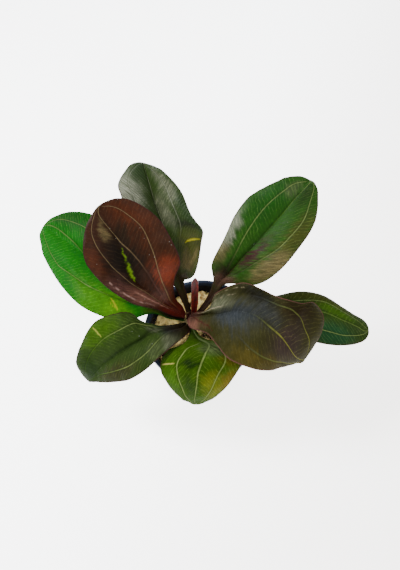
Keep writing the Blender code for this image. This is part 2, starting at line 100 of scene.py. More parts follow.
# Leaf lines in millimetres: the same as the solids' lines, from base to tip, upper face up
LEAVES = {
    "leaf_back_left": dict(
        left=[(-6.2, 10.3, 44.5), (-8.5, 15, 52), (-11.5, 18, 62), (-20, 24.5, 72), (-25, 31, 83),
              (-28.5, 38.5, 91), (-30, 45.5, 96), (-31, 52, 99), (-25.5, 60.5, 101), (-19, 62.5, 100)],
        midrib=[(-5, 11, 44.5), (-6.5, 15.2, 52), (-8, 19, 61), (-9, 23.5, 67), (-10, 31, 75),
                (-13, 39.5, 83), (-15.5, 47, 89), (-17, 53, 95), (-18.5, 59, 99), (-19, 62.5, 100)],
        right=[(-3.8, 11.6, 44.5), (-4.8, 15.2, 52), (-5.5, 19, 62), (0, 15.5, 72), (4.5, 25.5, 82),
               (5.5, 28.5, 88), (1, 34, 93), (-2.5, 45, 97), (-10, 54, 101), (-19, 62.5, 100)],
    ),
    "leaf_red": dict(
        left=[(-7.4, 6.9, 45.4), (-13, 5.5, 52), (-20, 5, 61), (-28.5, 3.5, 70), (-36, 5.5, 78),
              (-41.5, 9, 84), (-46.5, 16, 89), (-46.5, 24, 94), (-43.5, 32, 98), (-37.5, 36.5, 102)],
        midrib=[(-7, 8.1, 45.4), (-10.3, 8, 52), (-16.5, 8.5, 60), (-22.5, 11.5, 67), (-27.5, 15, 73),
                (-29.5, 19.5, 79), (-32, 25.5, 86), (-35, 30.5, 92), (-37, 34, 98), (-37.5, 36.5, 102)],
        right=[(-6.6, 9.4, 45.4), (-7.8, 10.3, 52), (-10.5, 10.5, 62), (-9.5, 14.5, 71), (-6, 18.5, 79),
               (-8.5, 24.5, 86), (-13, 32, 93), (-19.5, 36.5, 98), (-27.5, 38.5, 102), (-37.5, 36.5, 102)],
    ),
    "leaf_left": dict(
        left=[(-7.6, 7, 42.6), (-14.5, 6, 48), (-23.5, 8.5, 51), (-36, 4, 54), (-46.5, 6.5, 56),
              (-57.5, 13, 58), (-68, 25, 59), (-77.5, 41, 58), (-83, 57, 57), (-83, 68, 57)],
        midrib=[(-7.5, 8, 42.6), (-14, 7.5, 48), (-21.8, 10.3, 51.5), (-32, 17, 54), (-39.5, 24.5, 56),
                (-50, 34.5, 58), (-61.5, 48, 59), (-72, 58, 58), (-79, 65, 57.5), (-83, 68, 57)],
        right=[(-7.3, 9, 42.6), (-13, 9.5, 48), (-20.5, 13, 53), (-27, 27.5, 57), (-31.5, 40.5, 61),
               (-39, 53.5, 64), (-51.5, 65.5, 65), (-64, 70.5, 64), (-74.5, 70.5, 61), (-83, 68, 57)],
    ),
    "leaf_front_left": dict(
        left=[(-5.6, 4.2, 43.6), (-6, -3.5, 49.5), (-14, -12.5, 55), (-20.5, -18.5, 56.5),
              (-26.5, -22.5, 54.5), (-34.5, -24, 49), (-43, -22.5, 43), (-51, -19.5, 37),
              (-56, -17.5, 34), (-60.5, -15, 32)],
        midrib=[(-6.6, 4.9, 43.6), (-10, 0, 49.5), (-18.5, -3.5, 54), (-24, -6, 55.5), (-29.5, -9, 55),
                (-36.5, -11, 52.5), (-43.5, -12.5, 48), (-50, -13.5, 43), (-56, -15, 37), (-60.5, -15, 32)],
        right=[(-7.4, 5.7, 43.6), (-13.5, 2, 49.5), (-21.5, 0, 54), (-27, 2, 57), (-33, 5.5, 60),
               (-41, 5, 60), (-50.5, 3.5, 56), (-58.5, -3, 49), (-63.5, -10, 41), (-60.5, -15, 32)],
    ),
    "leaf_front": dict(
        left=[(-3.1, 2.4, 43.8), (1, -6.5, 48.5), (9.5, -12, 53), (15.5, -18.5, 55), (17, -23.5, 53),
              (13.5, -27, 48), (9, -30, 41), (3.5, -32.5, 35), (-1, -33, 32), (-5.5, -33.5, 32)],
        midrib=[(-4.3, 2.5, 43.8), (-2, -5.5, 48.5), (2, -13, 54), (1.5, -18.5, 57),
                (0, -23.5, 57.5), (-2, -27.5, 55.5), (-3, -30.5, 50.5), (-4.5, -32.5, 43),
                (-5.5, -33, 37), (-5.5, -33.5, 32)],
        right=[(-5.3, 2.2, 43.8), (-6, -4.5, 48.5), (-9, -9.5, 51), (-16, -12, 50.5), (-19.5, -18, 51),
               (-19, -23.5, 47), (-15.5, -28.5, 40), (-11, -32, 35), (-8.5, -32.5, 32), (-5.5, -33.5, 32)],
    ),
    "leaf_front_right": dict(
        left=[(-1.4, 5.6, 44), (-4, 7, 49.3), (4, 4.5, 57), (9.5, 6, 69),
              (21, 5.5, 76), (28.5, 0, 79), (36, -6, 79), (43.5, -8.5, 78),
              (51, -7.5, 75), (54, -13.5, 68), (45.5, -25.5, 57)],
        midrib=[(-2.8, 5, 44), (-4.6, 6, 49), (1.5, 3.5, 53.5), (9, -1, 61.5),
                (17, -4, 68), (24.5, -9, 72), (30, -16, 73), (34.5, -20.5, 71),
                (38, -24, 67), (41.5, -26, 62), (45.5, -25.5, 57)],
        right=[(-4.2, 4.9, 44), (-6, 3.6, 49.5), (-4.5, -2, 52), (2.5, -7.5, 56),
               (6.5, -16, 61), (11, -23.5, 62), (19, -28, 61), (27.5, -29, 58),
               (35, -28, 56), (40.5, -27, 56), (45.5, -25.5, 57)],
    ),
    "leaf_right": dict(
        left=[(-0.2, 8.2, 43.3), (7.5, 5.5, 48), (22.5, 6.5, 53), (35.5, 8.5, 56), (48, 9, 57),
              (60, 7, 56), (69, 1, 54), (76, -3, 51), (79.5, -5.5, 49), (81, -10.5, 48)],
        midrib=[(-0.4, 7, 43.3), (7.5, 4, 48), (21.5, 2.5, 52), (35.5, 0, 54.5), (48.5, -1.5, 56),
                (60, -4, 55), (68.5, -7, 53), (75.5, -9.5, 50), (78, -11, 49), (81, -10.5, 48)],
        right=[(-0.5, 5.9, 43.3), (7, 2.5, 48), (21, -2.5, 53), (35, -10, 55), (47, -15, 55),
               (58.5, -18, 53), (68, -18, 50), (75, -16.5, 48), (78, -14.5, 48), (81, -10.5, 48)],
    ),
    "leaf_back_right": dict(
        left=[(-0.8, 10.6, 44.8), (5, 14, 53), (8.5, 16.5, 63), (8.5, 20, 73), (15, 26.5, 82),
              (21.5, 34.5, 90), (29, 39.5, 96), (40, 42, 100), (48.5, 43, 101), (55, 41, 100)],
        midrib=[(0.3, 9.9, 44.8), (6, 12.5, 53), (11, 15, 63), (17, 17, 69), (24.5, 20.5, 77),
                (32, 24, 84), (39.5, 28.5, 90), (46.5, 33, 96), (51.5, 37.5, 99), (55, 41, 100)],
        right=[(1.2, 9, 44.8), (7.5, 11, 53), (14, 14, 63), (27.5, 7, 71), (37.5, 8, 79),
               (47.5, 15.5, 86), (54.5, 23, 92), (57.5, 33, 97), (57, 37, 100), (55, 41, 100)],
    ),
}

# The leaves' colours, as they show in the picture
PALETTE = dict(
    silver="b0b09c", pewter="86886e", steel="444952", slate="3a3c3e", dusk="453634",
    soot="15130c", umber="2c1e10", bark="4c3224", russet="40200c", rust="5c2a12", brick="943c22",
    rose="9c6458", mauve="6e4640", ruby="7a2820", maroon="421c22", tan="8c7850", amber="7c661c",
    gold="84841a", olive="4c4e1a", khaki="3c3a1c", moss="34481a", pine="243c12", bottle="14280c",
    fern="48700f", leaf="3c5a10", grass="2a560e", emerald="12760a", deep="10500a", lime="62a010",
    teal="24502e", sage="606c44", vein_dark="26240f", vein_olive="5c6232", vein_pale="90a058",
    vein_gold="8e8c3a", vein_tan="8a7450",
)

# How each leaf looks. Places on a leaf are (station, share): stations are counted from the base, and
# shares run from -1 at the left edge over 0 in the middle to 1 at the right edge.
# cross: strength, spacing and slant of the cross veins. mid, lateral: colours of the veins by station.
# middle, veins: the lines of the midrib and of the left and right side veins.
# patches: (station, share, reach along, reach across, colour, strength, streaks); some are painted sheen or
# shade
# marks: (start, bend, end, half width in millimetres, colour)
# folds: (station, share, reach along, reach across, height in millimetres)
# ruffles: (height, waves, phase) of the left and right margins
LOOKS = {
    "leaf_back_left": dict(
        slot="leaf_silvery_green", base="moss", stalk="bark", edge="maroon", under="vein_olive", gloss=0.34,
        shine=0.09, rib_show=0.5, rib=0.26, specks=0.1, cross=(0.45, 1.9, 1.1),
        mid=[(0, "bark"), (3, "vein_olive"), (5, "pewter"), (9, "pewter")],
        lateral=[(2, "khaki"), (4.2, "vein_olive"), (6, "silver"), (9, "sage")],
        middle=[(0, 0), (9, 0)],
        veins=[[(1.5, -0.1), (3.5, -0.45), (5.9, -0.62), (7.5, -0.68), (8.7, -0.3)],
               [(1.5, 0.05), (3.7, 0.25), (4.6, 0.43), (5.9, 0.53), (7.2, 0.5), (8.7, 0.25)]],
        # Painted sheen: the silver patch on the left half and the two pewter patches right of the midrib.
        # Painted shade: the soot patch in the crease.
        patches=[(6.3, -0.75, 1.1, 0.36, "silver", 0.95, 0.9), (7.7, -0.35, 0.7, 0.3, "pine", 0.8, 0.3),
                 (7.0, 0.55, 0.8, 0.22, "pewter", 0.9, 0.9), (5.5, 0.2, 0.7, 0.18, "pewter", 0.85, 0.9),
                 (5.8, 0.85, 0.9, 0.2, "pine", 0.9, 0.1), (4.9, 0.62, 0.3, 0.3, "soot", 0.7, 0.0),
                 (3.9, 0.7, 0.7, 0.42, "olive", 0.9, 0.4), (3.4, 0.6, 0.3, 0.25, "tan", 0.7, 0.6),
                 (2.3, 0.3, 0.6, 0.8, "bark", 0.85, 0.2)],
        marks=[((4.02, 0.52), (4.24, 0.8), (4.2, 0.95), 0.5, "b8ac20")],
        folds=[(4.15, 0.75, 0.35, 0.4, 1.3), (4.9, 0.8, 0.35, 0.35, -1.0), (3.4, 0.6, 0.4, 0.25, -0.6)],
        ruffles=[(0.4, 1.4, 0.3), (0.7, 2.3, 2.2)],
    ),
    "leaf_red": dict(
        slot="leaf_red_brown", base="russet", stalk="ruby", edge="maroon", under="mauve", gloss=0.3,
        shine=0.07, rib_show=0.7, rib=0.24, specks=0.7, cross=(0.25, 2.2, 0.6),
        mid=[(0, "ruby"), (2, "mauve"), (4, "bark"), (6, "vein_tan"), (9, "vein_tan")],
        lateral=[(0.5, "brick"), (2.5, "vein_tan"), (4, "vein_tan"), (9, "vein_tan")],
        middle=[(0, 0), (1.5, 0.12), (2.5, 0.3), (3.95, 0.28), (4.74, 0.23), (5.4, 0.15), (6.0, 0.04),
                (6.6, 0), (7.3, -0.1), (8.3, -0.4), (9, -0.5)],
        veins=[[(0.8, -0.05), (2.8, -0.12), (3.6, -0.22), (4.4, -0.35), (5.1, -0.47), (6.5, -0.62),
                (7.2, -0.7), (8.7, -0.6)],
               [(0.8, 0.3), (2.3, 0.6), (3.1, 0.55), (3.9, 0.5), (4.8, 0.55), (6.1, 0.58), (7.5, 0.5),
                (8.3, 0.35), (8.9, 0.0)]],
        # Painted glare: the two rose patches toward the base.
        patches=[(6.9, 0.55, 1.3, 0.4, "rust", 0.8, 0.1), (5.2, -0.12, 1.4, 0.46, "soot", 0.88, 0.0),
                 (6.3, 0.15, 0.7, 0.25, "umber", 0.8, 0.0), (5.8, -0.85, 0.7, 0.2, "rust", 0.7, 0.1),
                 (7.0, -0.28, 0.6, 0.12, "tan", 0.75, 0.8), (3.4, 0.7, 0.9, 0.3, "brick", 0.9, 0.1),
                 (4.1, -0.7, 0.6, 0.3, "mauve", 0.8, 0.7), (3.0, -0.55, 0.7, 0.35, "rose", 0.7, 0.8),
                 (2.2, 0.0, 0.5, 0.5, "rose", 0.75, 0.8), (1.2, 0.0, 0.6, 1.0, "ruby", 0.85, 0.4)],
        # The two pale pink marks are painted glare, along the rolled left margin and toward the base.
        marks=[((5.85, -0.02), (5.0, -0.06), (3.9, -0.07), 0.42, "8cb41c"),
               ((5.0, -0.045), (4.5, -0.07), (4.0, -0.06), 0.8, "90bc1e"),
               ((4.6, -0.86), (3.6, -0.84), (2.2, -0.7), 0.32, "c49a90"),
               ((3.4, -0.45), (2.6, -0.4), (1.5, -0.3), 0.28, "c08a78")],
        folds=[(4.4, -0.55, 1.0, 0.22, -0.5), (4.0, -0.9, 1.2, 0.2, 0.7), (3.6, 0.4, 1.2, 0.12, -0.5)],
        ruffles=[(0.6, 1.2, 0.5), (0.4, 1.5, 1.0)],
    ),
    "leaf_left": dict(
        slot="leaf_bright_green", base="emerald", stalk="umber", edge="deep", under="fern", gloss=0.34,
        shine=0.03, rib_show=0.5, rib=0.24, specks=0.3, cross=(0.55, 2.3, 0.75),
        mid=[(0, "umber"), (3, "bottle"), (5.5, "deep"), (6.5, "vein_pale"), (9, "vein_pale")],
        lateral=[(2, "vein_dark"), (4.0, "bottle"), (4.8, "vein_pale"), (9, "vein_pale")],
        middle=[(0, 0), (5.6, 0), (7.3, 0.2), (9, 0.3)],
        veins=[[(1.5, -0.1), (3.8, -0.42), (4.6, -0.5), (5.3, -0.57), (6.4, -0.72), (8.5, -0.5)],
               [(1.5, 0.1), (3.5, 0.4), (5.0, 0.5), (6.5, 0.55), (7.6, 0.6), (8.7, 0.5)]],
        patches=[(6.9, 0.75, 1.4, 0.4, "deep", 0.9, 0.0), (4.4, -0.75, 1.0, 0.4, "lime", 0.55, 0.0),
                 (3.6, -0.7, 0.6, 0.4, "lime", 0.85, 0.0), (2.0, 0.0, 0.5, 0.9, "olive", 0.8, 0.2),
                 (1.0, 0.0, 0.6, 1.0, "umber", 0.9, 0.3)],
        marks=[((3.95, -0.5), (3.7, -0.57), (3.5, -0.68), 0.3, "c8c828"),
               ((3.9, -0.62), (3.7, -0.66), (3.5, -0.6), 0.22, "b8c020")],
        folds=[(5.4, -0.57, 2.4, 0.05, -0.35), (4.4, -0.8, 1.2, 0.25, 0.5)],
        ruffles=[(0.5, 1.7, 0.0), (0.8, 1.6, 1.1)],
    ),
    "leaf_front_left": dict(
        slot="leaf_deep_green", base="moss", stalk="umber", edge="maroon", under="sage", gloss=0.38,
        shine=0.02, rib_show=0.5, rib=0.26, specks=0.7, cross=(0.38, 2.0, 0.8),
        mid=[(0, "umber"), (2, "vein_dark"), (4, "bottle"), (6.5, "pine"), (9, "moss")],
        lateral=[(1.5, "slate"), (3, "vein_pale"), (5, "vein_pale"), (7, "fern"), (9, "moss")],
        middle=[(0, 0), (1.0, 0.25), (1.8, 0.5), (2.6, 0.3), (3.5, 0.07), (5.6, 0.03), (6.8, 0),
                (8.4, -0.42), (9, -0.5)],
        veins=[[(1.2, -0.1), (2.6, -0.42), (3.3, -0.55), (5.0, -0.6), (7.0, -0.55), (8.5, -0.6)],
               [(1.2, 0.5), (2.4, 0.72), (3.5, 0.62), (4.8, 0.5), (6.0, 0.48), (7.2, 0.48), (8.5, 0.3)]],
        # Painted sheen: the two pewter patches at the base.
        patches=[(5.8, 0.8, 1.1, 0.32, "fern", 0.75, 0.0), (7.8, 0.1, 0.7, 0.5, "pine", 0.8, 0.2),
                 (5.8, -0.7, 1.3, 0.35, "khaki", 0.85, 0.2), (2.9, -0.7, 0.6, 0.35, "sage", 0.75, 0.7),
                 (2.3, 0.35, 0.5, 0.22, "pewter", 0.8, 1.0), (1.9, -0.75, 0.4, 0.4, "pewter", 0.8, 0.9),
                 (1.4, 0.1, 0.5, 0.65, "slate", 0.9, 0.4), (0.6, 0.0, 0.5, 1.0, "umber", 0.9, 0.3)],
        marks=[((6.16, 0.92), (6.05, 0.75), (5.99, 0.58), 0.32, "b4b850")],
        folds=[(2.3, 0.5, 0.7, 0.22, -0.9), (2.4, 0.85, 0.6, 0.2, 0.6), (4.6, 0.03, 2.6, 0.05, -0.35)],
        ruffles=[(0.4, 1.5, 2.0), (0.6, 1.3, 0.4)],
    ),
    "leaf_front": dict(
        slot="leaf_yellow_green", base="leaf", stalk="moss", edge="bark", under="sage", gloss=0.36,
        shine=0.005, rib_show=0.7, rib=0.32, specks=0.1, cross=(0.4, 1.9, 0.7),
        mid=[(0, "sage"), (2, "sage"), (3.2, "vein_pale"), (9, "vein_pale")],
        lateral=[(1.5, "sage"), (3, "vein_pale"), (9, "vein_pale")],
        middle=[(0, 0), (1.9, -0.25), (2.7, 0), (4.0, 0.05), (5.4, 0.05), (8.2, 0.15), (9, 0.2)],
        veins=[[(1.6, -0.5), (2.6, -0.58), (3.5, -0.6), (4.6, -0.52), (5.7, -0.52), (6.9, -0.55),
                (7.9, -0.65), (8.8, -0.6)],
               [(1.5, 0.1), (2.4, 0.5), (3.5, 0.53), (4.1, 0.6), (5.0, 0.58), (5.9, 0.6), (7.1, 0.73),
                (8.7, 0.7)]],
        # Painted sheen: the streaked sage patch near the base.
        patches=[(2.4, -0.3, 0.8, 0.45, "sage", 0.85, 0.9), (3.7, -0.75, 0.5, 0.3, "amber", 0.6, 0.5),
                 (4.1, 0.3, 0.5, 0.18, "bottle", 0.85, 0.0), (5.4, -0.3, 0.7, 0.22, "gold", 0.6, 0.0),
                 (6.3, -0.7, 1.0, 0.35, "gold", 0.55, 0.0), (5.3, -0.9, 0.8, 0.18, "amber", 0.8, 0.0),
                 (5.9, 0.3, 0.9, 0.2, "pine", 0.6, 0.0), (4.9, 0.85, 1.0, 0.2, "lime", 0.2, 0.0)],
        marks=[((4.12, 0.98), (4.2, 0.84), (4.15, 0.68), 0.3, "dccc70")],
        folds=[(2.6, -0.62, 0.8, 0.2, -0.4)],
        ruffles=[(0.3, 1.4, 0.8), (0.3, 1.2, 2.4)],
    ),
    "leaf_front_right": dict(
        slot="leaf_slate_purple", base="khaki", stalk="mauve", edge="mauve", under="mauve", gloss=0.36,
        shine=0.02, fade=(4.2, 6.4), rib_show=0.72, rib=0.4, specks=0.15, cross=(0.4, 2.1, 0.6),
        mid=[(0, "slate"), (4, "slate"), (5.5, "vein_olive"), (7, "vein_gold"), (10, "vein_gold")],
        lateral=[(2, "slate"), (5.0, "slate"), (6.4, "vein_olive"), (10, "vein_gold")],
        middle=[(0, 0), (6.8, 0), (7.9, 0.03), (9.3, 0.3), (10, 0.4)],
        veins=[[(2.4, -0.3), (4.2, -0.55), (5.8, -0.72), (6.7, -0.75), (7.4, -0.6), (8.2, -0.42),
                (9.4, -0.4)],
               [(2.4, 0.3), (4.1, 0.43), (4.9, 0.55), (5.5, 0.62), (6.3, 0.68), (7.1, 0.73), (8.3, 0.8),
                (9.6, 0.85)]],
        # Painted reflection: the bluish steel patch in the middle. Painted sheen: the streaked pewter patch
        # on the folded base.
        patches=[(4.1, 0.1, 1.1, 0.38, "steel", 0.85, 0.4), (5.5, -0.3, 0.9, 0.35, "slate", 0.85, 0.4),
                 (3.0, -0.45, 0.6, 0.3, "pewter", 0.65, 1.0), (4.8, -0.75, 0.9, 0.25, "soot", 0.85, 0.3),
                 (7.2, -0.75, 1.1, 0.3, "umber", 0.8, 0.2), (7.6, 0.1, 1.2, 0.6, "dusk", 0.85, 0.1),
                 (6.3, 0.85, 1.3, 0.22, "amber", 0.3, 0.1), (1.9, 0.75, 0.7, 0.32, "rose", 0.65, 0.5),
                 (1.2, 0.0, 0.7, 0.6, "bark", 0.8, 0.5)],
        # The first pale mark is a painted highlight along the ridge of the fold at the base.
        marks=[((1.6, -0.55), (2.5, -0.3), (3.5, -0.28), 0.22, "a89c84"),
               ((1.9, -0.8), (2.9, -0.66), (3.9, -0.6), 0.18, "8c8068"),
               ((2.3, -0.95), (3.2, -0.88), (4.2, -0.8), 0.16, "847a60"),
               ((1.2, 0.1), (2.0, 0.5), (3.6, 0.86), 0.3, "4c1c1a")],
        folds=[(3.3, -0.25, 1.3, 0.12, 0.9), (3.4, -0.6, 1.0, 0.2, -0.7), (3.9, 0.3, 1.2, 0.25, 0.5),
               (7.8, -0.85, 0.9, 0.12, 0.6)],
        ruffles=[(0.9, 2.1, 0.4), (0.4, 1.3, 5.6)],
    ),
    "leaf_right": dict(
        slot="leaf_olive_green", base="moss", stalk="bark", edge="bark", under="sage", gloss=0.38,
        shine=0.03, rib_show=0.5, rib=0.26, specks=0.1, cross=(0.42, 2.1, 0.6),
        mid=[(0, "bark"), (3, "fern"), (9, "vein_pale")],
        lateral=[(2, "olive"), (4, "vein_pale"), (9, "vein_pale")],
        middle=[(0, 0), (3.0, 0), (4.8, -0.15), (5.9, -0.05), (9, 0)],
        veins=[[(1.5, -0.1), (3.5, -0.5), (5.0, -0.62), (6.5, -0.6), (8.5, -0.3)],
               [(1.5, 0.1), (3.5, 0.5), (4.8, 0.57), (5.8, 0.65), (7.0, 0.55), (8.5, 0.3)]],
        patches=[(4.8, -0.8, 1.4, 0.28, "olive", 0.85, 0.1), (5.6, -0.35, 1.0, 0.3, "fern", 0.6, 0.1),
                 (5.2, 0.65, 1.3, 0.45, "teal", 0.85, 0.1), (2.0, 0.0, 0.7, 0.9, "khaki", 0.8, 0.2)],
        marks=[],
        folds=[(4.4, -0.85, 1.4, 0.2, 0.5)],
        ruffles=[(0.5, 1.6, 0.4), (0.5, 1.4, 2.0)],
    ),
    "leaf_back_right": dict(
        slot="leaf_mid_green", base="grass", stalk="mauve", edge="bark", under="sage", gloss=0.34,
        shine=0.06, rib_show=0.5, rib=0.26, specks=0.2, cross=(0.45, 1.75, 0.4),
        mid=[(0, "mauve"), (3, "bark"), (4.6, "bottle"), (6.2, "fern"), (9, "vein_pale")],
        lateral=[(2, "umber"), (3.2, "khaki"), (4.8, "vein_pale"), (9, "vein_pale")],
        middle=[(0, 0), (7.4, 0), (8.6, 0.5), (9, 0.6)],
        veins=[[(2.2, -0.1), (3.2, -0.22), (4.3, -0.38), (5.2, -0.42), (6.2, -0.45), (7.7, -0.5),
                (8.8, -0.1)],
               [(2.2, 0.1), (3.2, 0.3), (4.1, 0.48), (4.7, 0.62), (5.9, 0.7), (6.7, 0.7), (7.8, 0.78),
                (8.8, 0.8)]],
        # Painted sheen: the silver patch on the left margin.
        patches=[(6.3, -0.5, 1.4, 0.42, "deep", 0.75, 0.0), (7.4, -0.35, 0.6, 0.25, "sage", 0.6, 0.9),
                 (4.3, -0.88, 0.7, 0.18, "silver", 0.8, 0.8), (3.5, -0.8, 0.5, 0.25, "tan", 0.6, 0.6),
                 (2.8, -0.25, 0.4, 0.4, "umber", 0.9, 0.0), (4.1, 0.2, 0.8, 0.14, "maroon", 0.95, 0.0),
                 (5.2, 0.8, 1.1, 0.25, "olive", 0.85, 0.2), (3.8, 0.8, 0.7, 0.28, "tan", 0.85, 0.8),
                 (7.4, 0.4, 0.9, 0.28, "pine", 0.85, 0.1), (2.2, 0.0, 0.45, 1.2, "mauve", 0.85, 0.3)],
        marks=[],
        folds=[(4.2, -0.6, 0.9, 0.12, -0.5), (4.3, -0.85, 0.9, 0.16, 0.6), (3.6, 0.55, 1.0, 0.12, -0.4)],
        ruffles=[(0.4, 1.5, 1.6), (0.4, 1.4, 0.2)],
    ),
}

# Leaf mesh, lengths in millimetres
TIP_TRIM = 0.004
ROW_STEP = 0.5
COLUMNS = 65
DOME = 0.10
STALK_END = 2.2
THICKNESS = 0.46
EDGE_THICKNESS = 0.16
KEEL_DEPTHS = (1.5, 1.5, 1.2, 0.8, 0.55, 0.5, 0.42, 0.35, 0.28, 0.15, 0.12)
KEEL_HALF_WIDTH = 1.8
VEIN_HALF_WIDTH = 0.42
MIDRIB_HALF_WIDTH = 0.6
QUILT = 0.05
CLUSTER = 0.45
STALK_TINT = 0.8
STATION_MM = 8.5
MARK_STEPS = 61

# The kind of attribute that holds one, three or four numbers
ATTRIBUTES = {1: ("FLOAT", "value"), 3: ("FLOAT_VECTOR", "vector"), 4: ("FLOAT_COLOR", "color")}


def spline(points, after_end, at):
    """Points of a smooth line at the station numbers in at."""
    points = np.array(points, float)
    line = np.vstack([2 * points[0] - points[1], points, after_end])
    first = np.minimum(at.astype(int), len(points) - 2)
    t = (at - first)[:, None]
    before, start, end, after = (line[first + i] for i in range(4))
    return 0.5 * (
        2 * start
        + (end - before) * t
        + (2 * before - 5 * start + 4 * end - after) * t * t
        + (3 * start - before - 3 * end + after) * t ** 3
    )


def three_lines(leaf, at):
    """The left edge, middle and right edge at the given stations."""
    left, midrib, right = (np.array(leaf[key], float) for key in ("left", "midrib", "right"))
    return (
        spline(left, right[-2], at),
        spline(midrib, 2 * midrib[-1] - midrib[-2], at),
        spline(right, left[-2], at),
    )


def even_stations(leaf):
    """Station numbers that step along the leaf by about ROW_STEP, measured on its edges and middle."""
    fine = np.linspace(0, len(leaf["midrib"]) - 1 - TIP_TRIM, 1200)
    lines = three_lines(leaf, fine)
    steps = sum(np.linalg.norm(np.diff(line, axis=0), axis=1) for line in lines) / 3
    length = np.concatenate([[0], np.cumsum(steps)])
    return np.interp(np.linspace(0, length[-1], int(length[-1] / ROW_STEP)), length, fine)


def grid_normals(grid):
    along = np.gradient(grid, axis=0)
    across = np.gradient(grid, axis=1)
    normal = np.cross(across, along)
    return normal / np.maximum(np.linalg.norm(normal, axis=2, keepdims=True), 1e-9)


def soft_step(value, low, high):
    share = np.clip((value - low) / (high - low), 0, 1)
    return share * share * (3 - 2 * share)


def hill(value, reach):
    return np.exp(-((value / reach) ** 2))


def soft_path(at, path):
    """Shares of a vein at the given stations, with its corners rounded."""
    stations, shares = zip(*path)
    values = np.interp(at, stations, shares)
    kernel = np.hanning(17)
    padded = np.pad(values, 8, mode="edge")
    return np.convolve(padded, kernel / kernel.sum(), mode="valid")


def colour_ramp(at, stops):
    stations = [stop[0] for stop in stops]
    colours = np.array([paint(stop[1]) for stop in stops])
    return np.stack([np.interp(at, stations, colours[:, i]) for i in range(3)], -1)


def link_object(name, data):
    made = bpy.data.objects.new(name, data)
    bpy.context.scene.collection.objects.link(made)
    return made


def grid_mesh(name, points, faces, attributes=None):
    """A smooth-shaded mesh object in metres with named point attributes."""
    mesh = bpy.data.meshes.new(name)
    mesh.from_pydata(np.asarray(points).tolist(), [], faces)
    for key, values in (attributes or {}).items():
        values = np.asarray(values, dtype=np.float32)
        kind, field = ATTRIBUTES[values[0].size]
        mesh.attributes.new(key, kind, "POINT").data.foreach_set(field, values.ravel())
    mesh.shade_smooth()
    mesh.update()
    return link_object(name, mesh)


def place_piece(made, material, replaced):
    made.data.materials.append(material)
    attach(made, BODY)
    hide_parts(replaced)


def quads(index):
    """Faces of a grid of point numbers."""
    return np.stack([index[:-1, :-1], index[:-1, 1:], index[1:, 1:], index[1:, :-1]], -1).reshape(-1, 4)


def closed_sheet(rows, columns):
    """Faces of a closed sheet, whose points are the grid of its upper face and then of its lower face."""
    index = np.arange(rows * columns).reshape(rows, columns)
    loop = np.concatenate([index[:, 0], index[-1, 1:], index[:-1, -1][::-1], index[0, :-1][::-1]])
    rim = np.stack([loop[:-1], loop[:-1] + index.size, loop[1:] + index.size, loop[1:]], -1)
    return np.concatenate([quads(index), quads(index)[:, ::-1] + index.size, rim])


def column_shares(at, look):
    """Shares of every column in every row. Three columns run along the veins, others crowd near them."""
    left, right = (soft_path(at, vein) for vein in look["veins"])
    middle = soft_path(at, look["middle"])
    knots = np.stack([np.full_like(at, -1), left, middle, right, np.ones_like(at)], -1)
    place = np.linspace(0, 4, COLUMNS)
    cell = np.minimum(place.astype(int), 3)
    local = place - cell
    local = local - CLUSTER * np.sin(2 * math.pi * local) / (2 * math.pi)
    return knots[:, cell] * (1 - local) + knots[:, cell + 1] * local, left, middle, right


def feathered(look, at, share, half_width, along, seed):
    """Stations and shares shifted by noise, so that patches get ragged edges along the cross veins."""
    across = share * half_width
    slanted = along - look["cross"][2] * np.abs(across)
    pairs = np.stack([slanted.ravel(), across.ravel()], -1).tolist()
    slow, fast, finer = (
        np.array([noise.noise((a / long, b / wide, seed + shift)) for a, b in pairs]).reshape(share.shape)
        for long, wide, shift in ((6, 6, 0), (0.8, 7, 9), (2.2, 4, 5))
    )
    return at + 0.35 * slow + 0.1 * finer, share + 0.16 * fast + 0.12 * finer


def cover(colour, mask, code, streaks):
    """Paint over the given share of each point's colour and streak strength."""
    mask = mask[..., None]
    return colour * (1 - mask) + np.array([*paint(code), streaks]) * mask


def paint_field(look, at, spread_at, spread_share):
    """Colour and streak strength of every point: a base colour with soft patches over it, painted sheen and
    shade among them.
    """
    colour = np.zeros((*spread_share.shape, 4))
    colour[..., :3] = paint(look["base"])
    for station, place, reach_along, reach_across, code, strength, streaks in look["patches"]:
        gap = ((spread_at - station) / reach_along) ** 2 + ((spread_share - place) / reach_across) ** 2
        colour = cover(colour, strength * np.exp(-(gap ** 1.6) * 0.8), code, streaks)
    stalk = (1 - soft_step(at, STALK_END - 1.1, STALK_END + 0.1))[:, None] * STALK_TINT
    return cover(colour, stalk, look["stalk"], 0.4)


def add_marks(look, colour, at, share, half_width):
    """Narrow bright streaks along bent lines, with a ragged outline; some are painted glare and highlights.
    """
    steps = np.linspace(0, 1, MARK_STEPS)[:, None]
    for start, bend, end, reach, code in look["marks"]:
        line = (1 - steps) ** 2 * np.array(start) + 2 * steps * (1 - steps) * np.array(bend)
        line = line + steps ** 2 * np.array(end)
        nearest = np.full(share.shape, 99.0)
        for number, (station, place) in enumerate(line):
            ragged = reach * (0.75 + 0.25 * math.sin(number * 0.9) * math.sin(number * 0.37 + 1))
            taper = math.sin(math.pi * (number + 3) / (MARK_STEPS + 5)) ** 0.5
            place = place + 0.4 * reach * math.sin(number * 0.5) / 9
            gap = np.hypot((at[:, None] - station) * STATION_MM, (share - place) * half_width)
            nearest = np.minimum(nearest, gap / (ragged * taper + 0.05))
        colour = cover(colour, np.exp(-(nearest ** 3)), code, 0.0)
    return colour


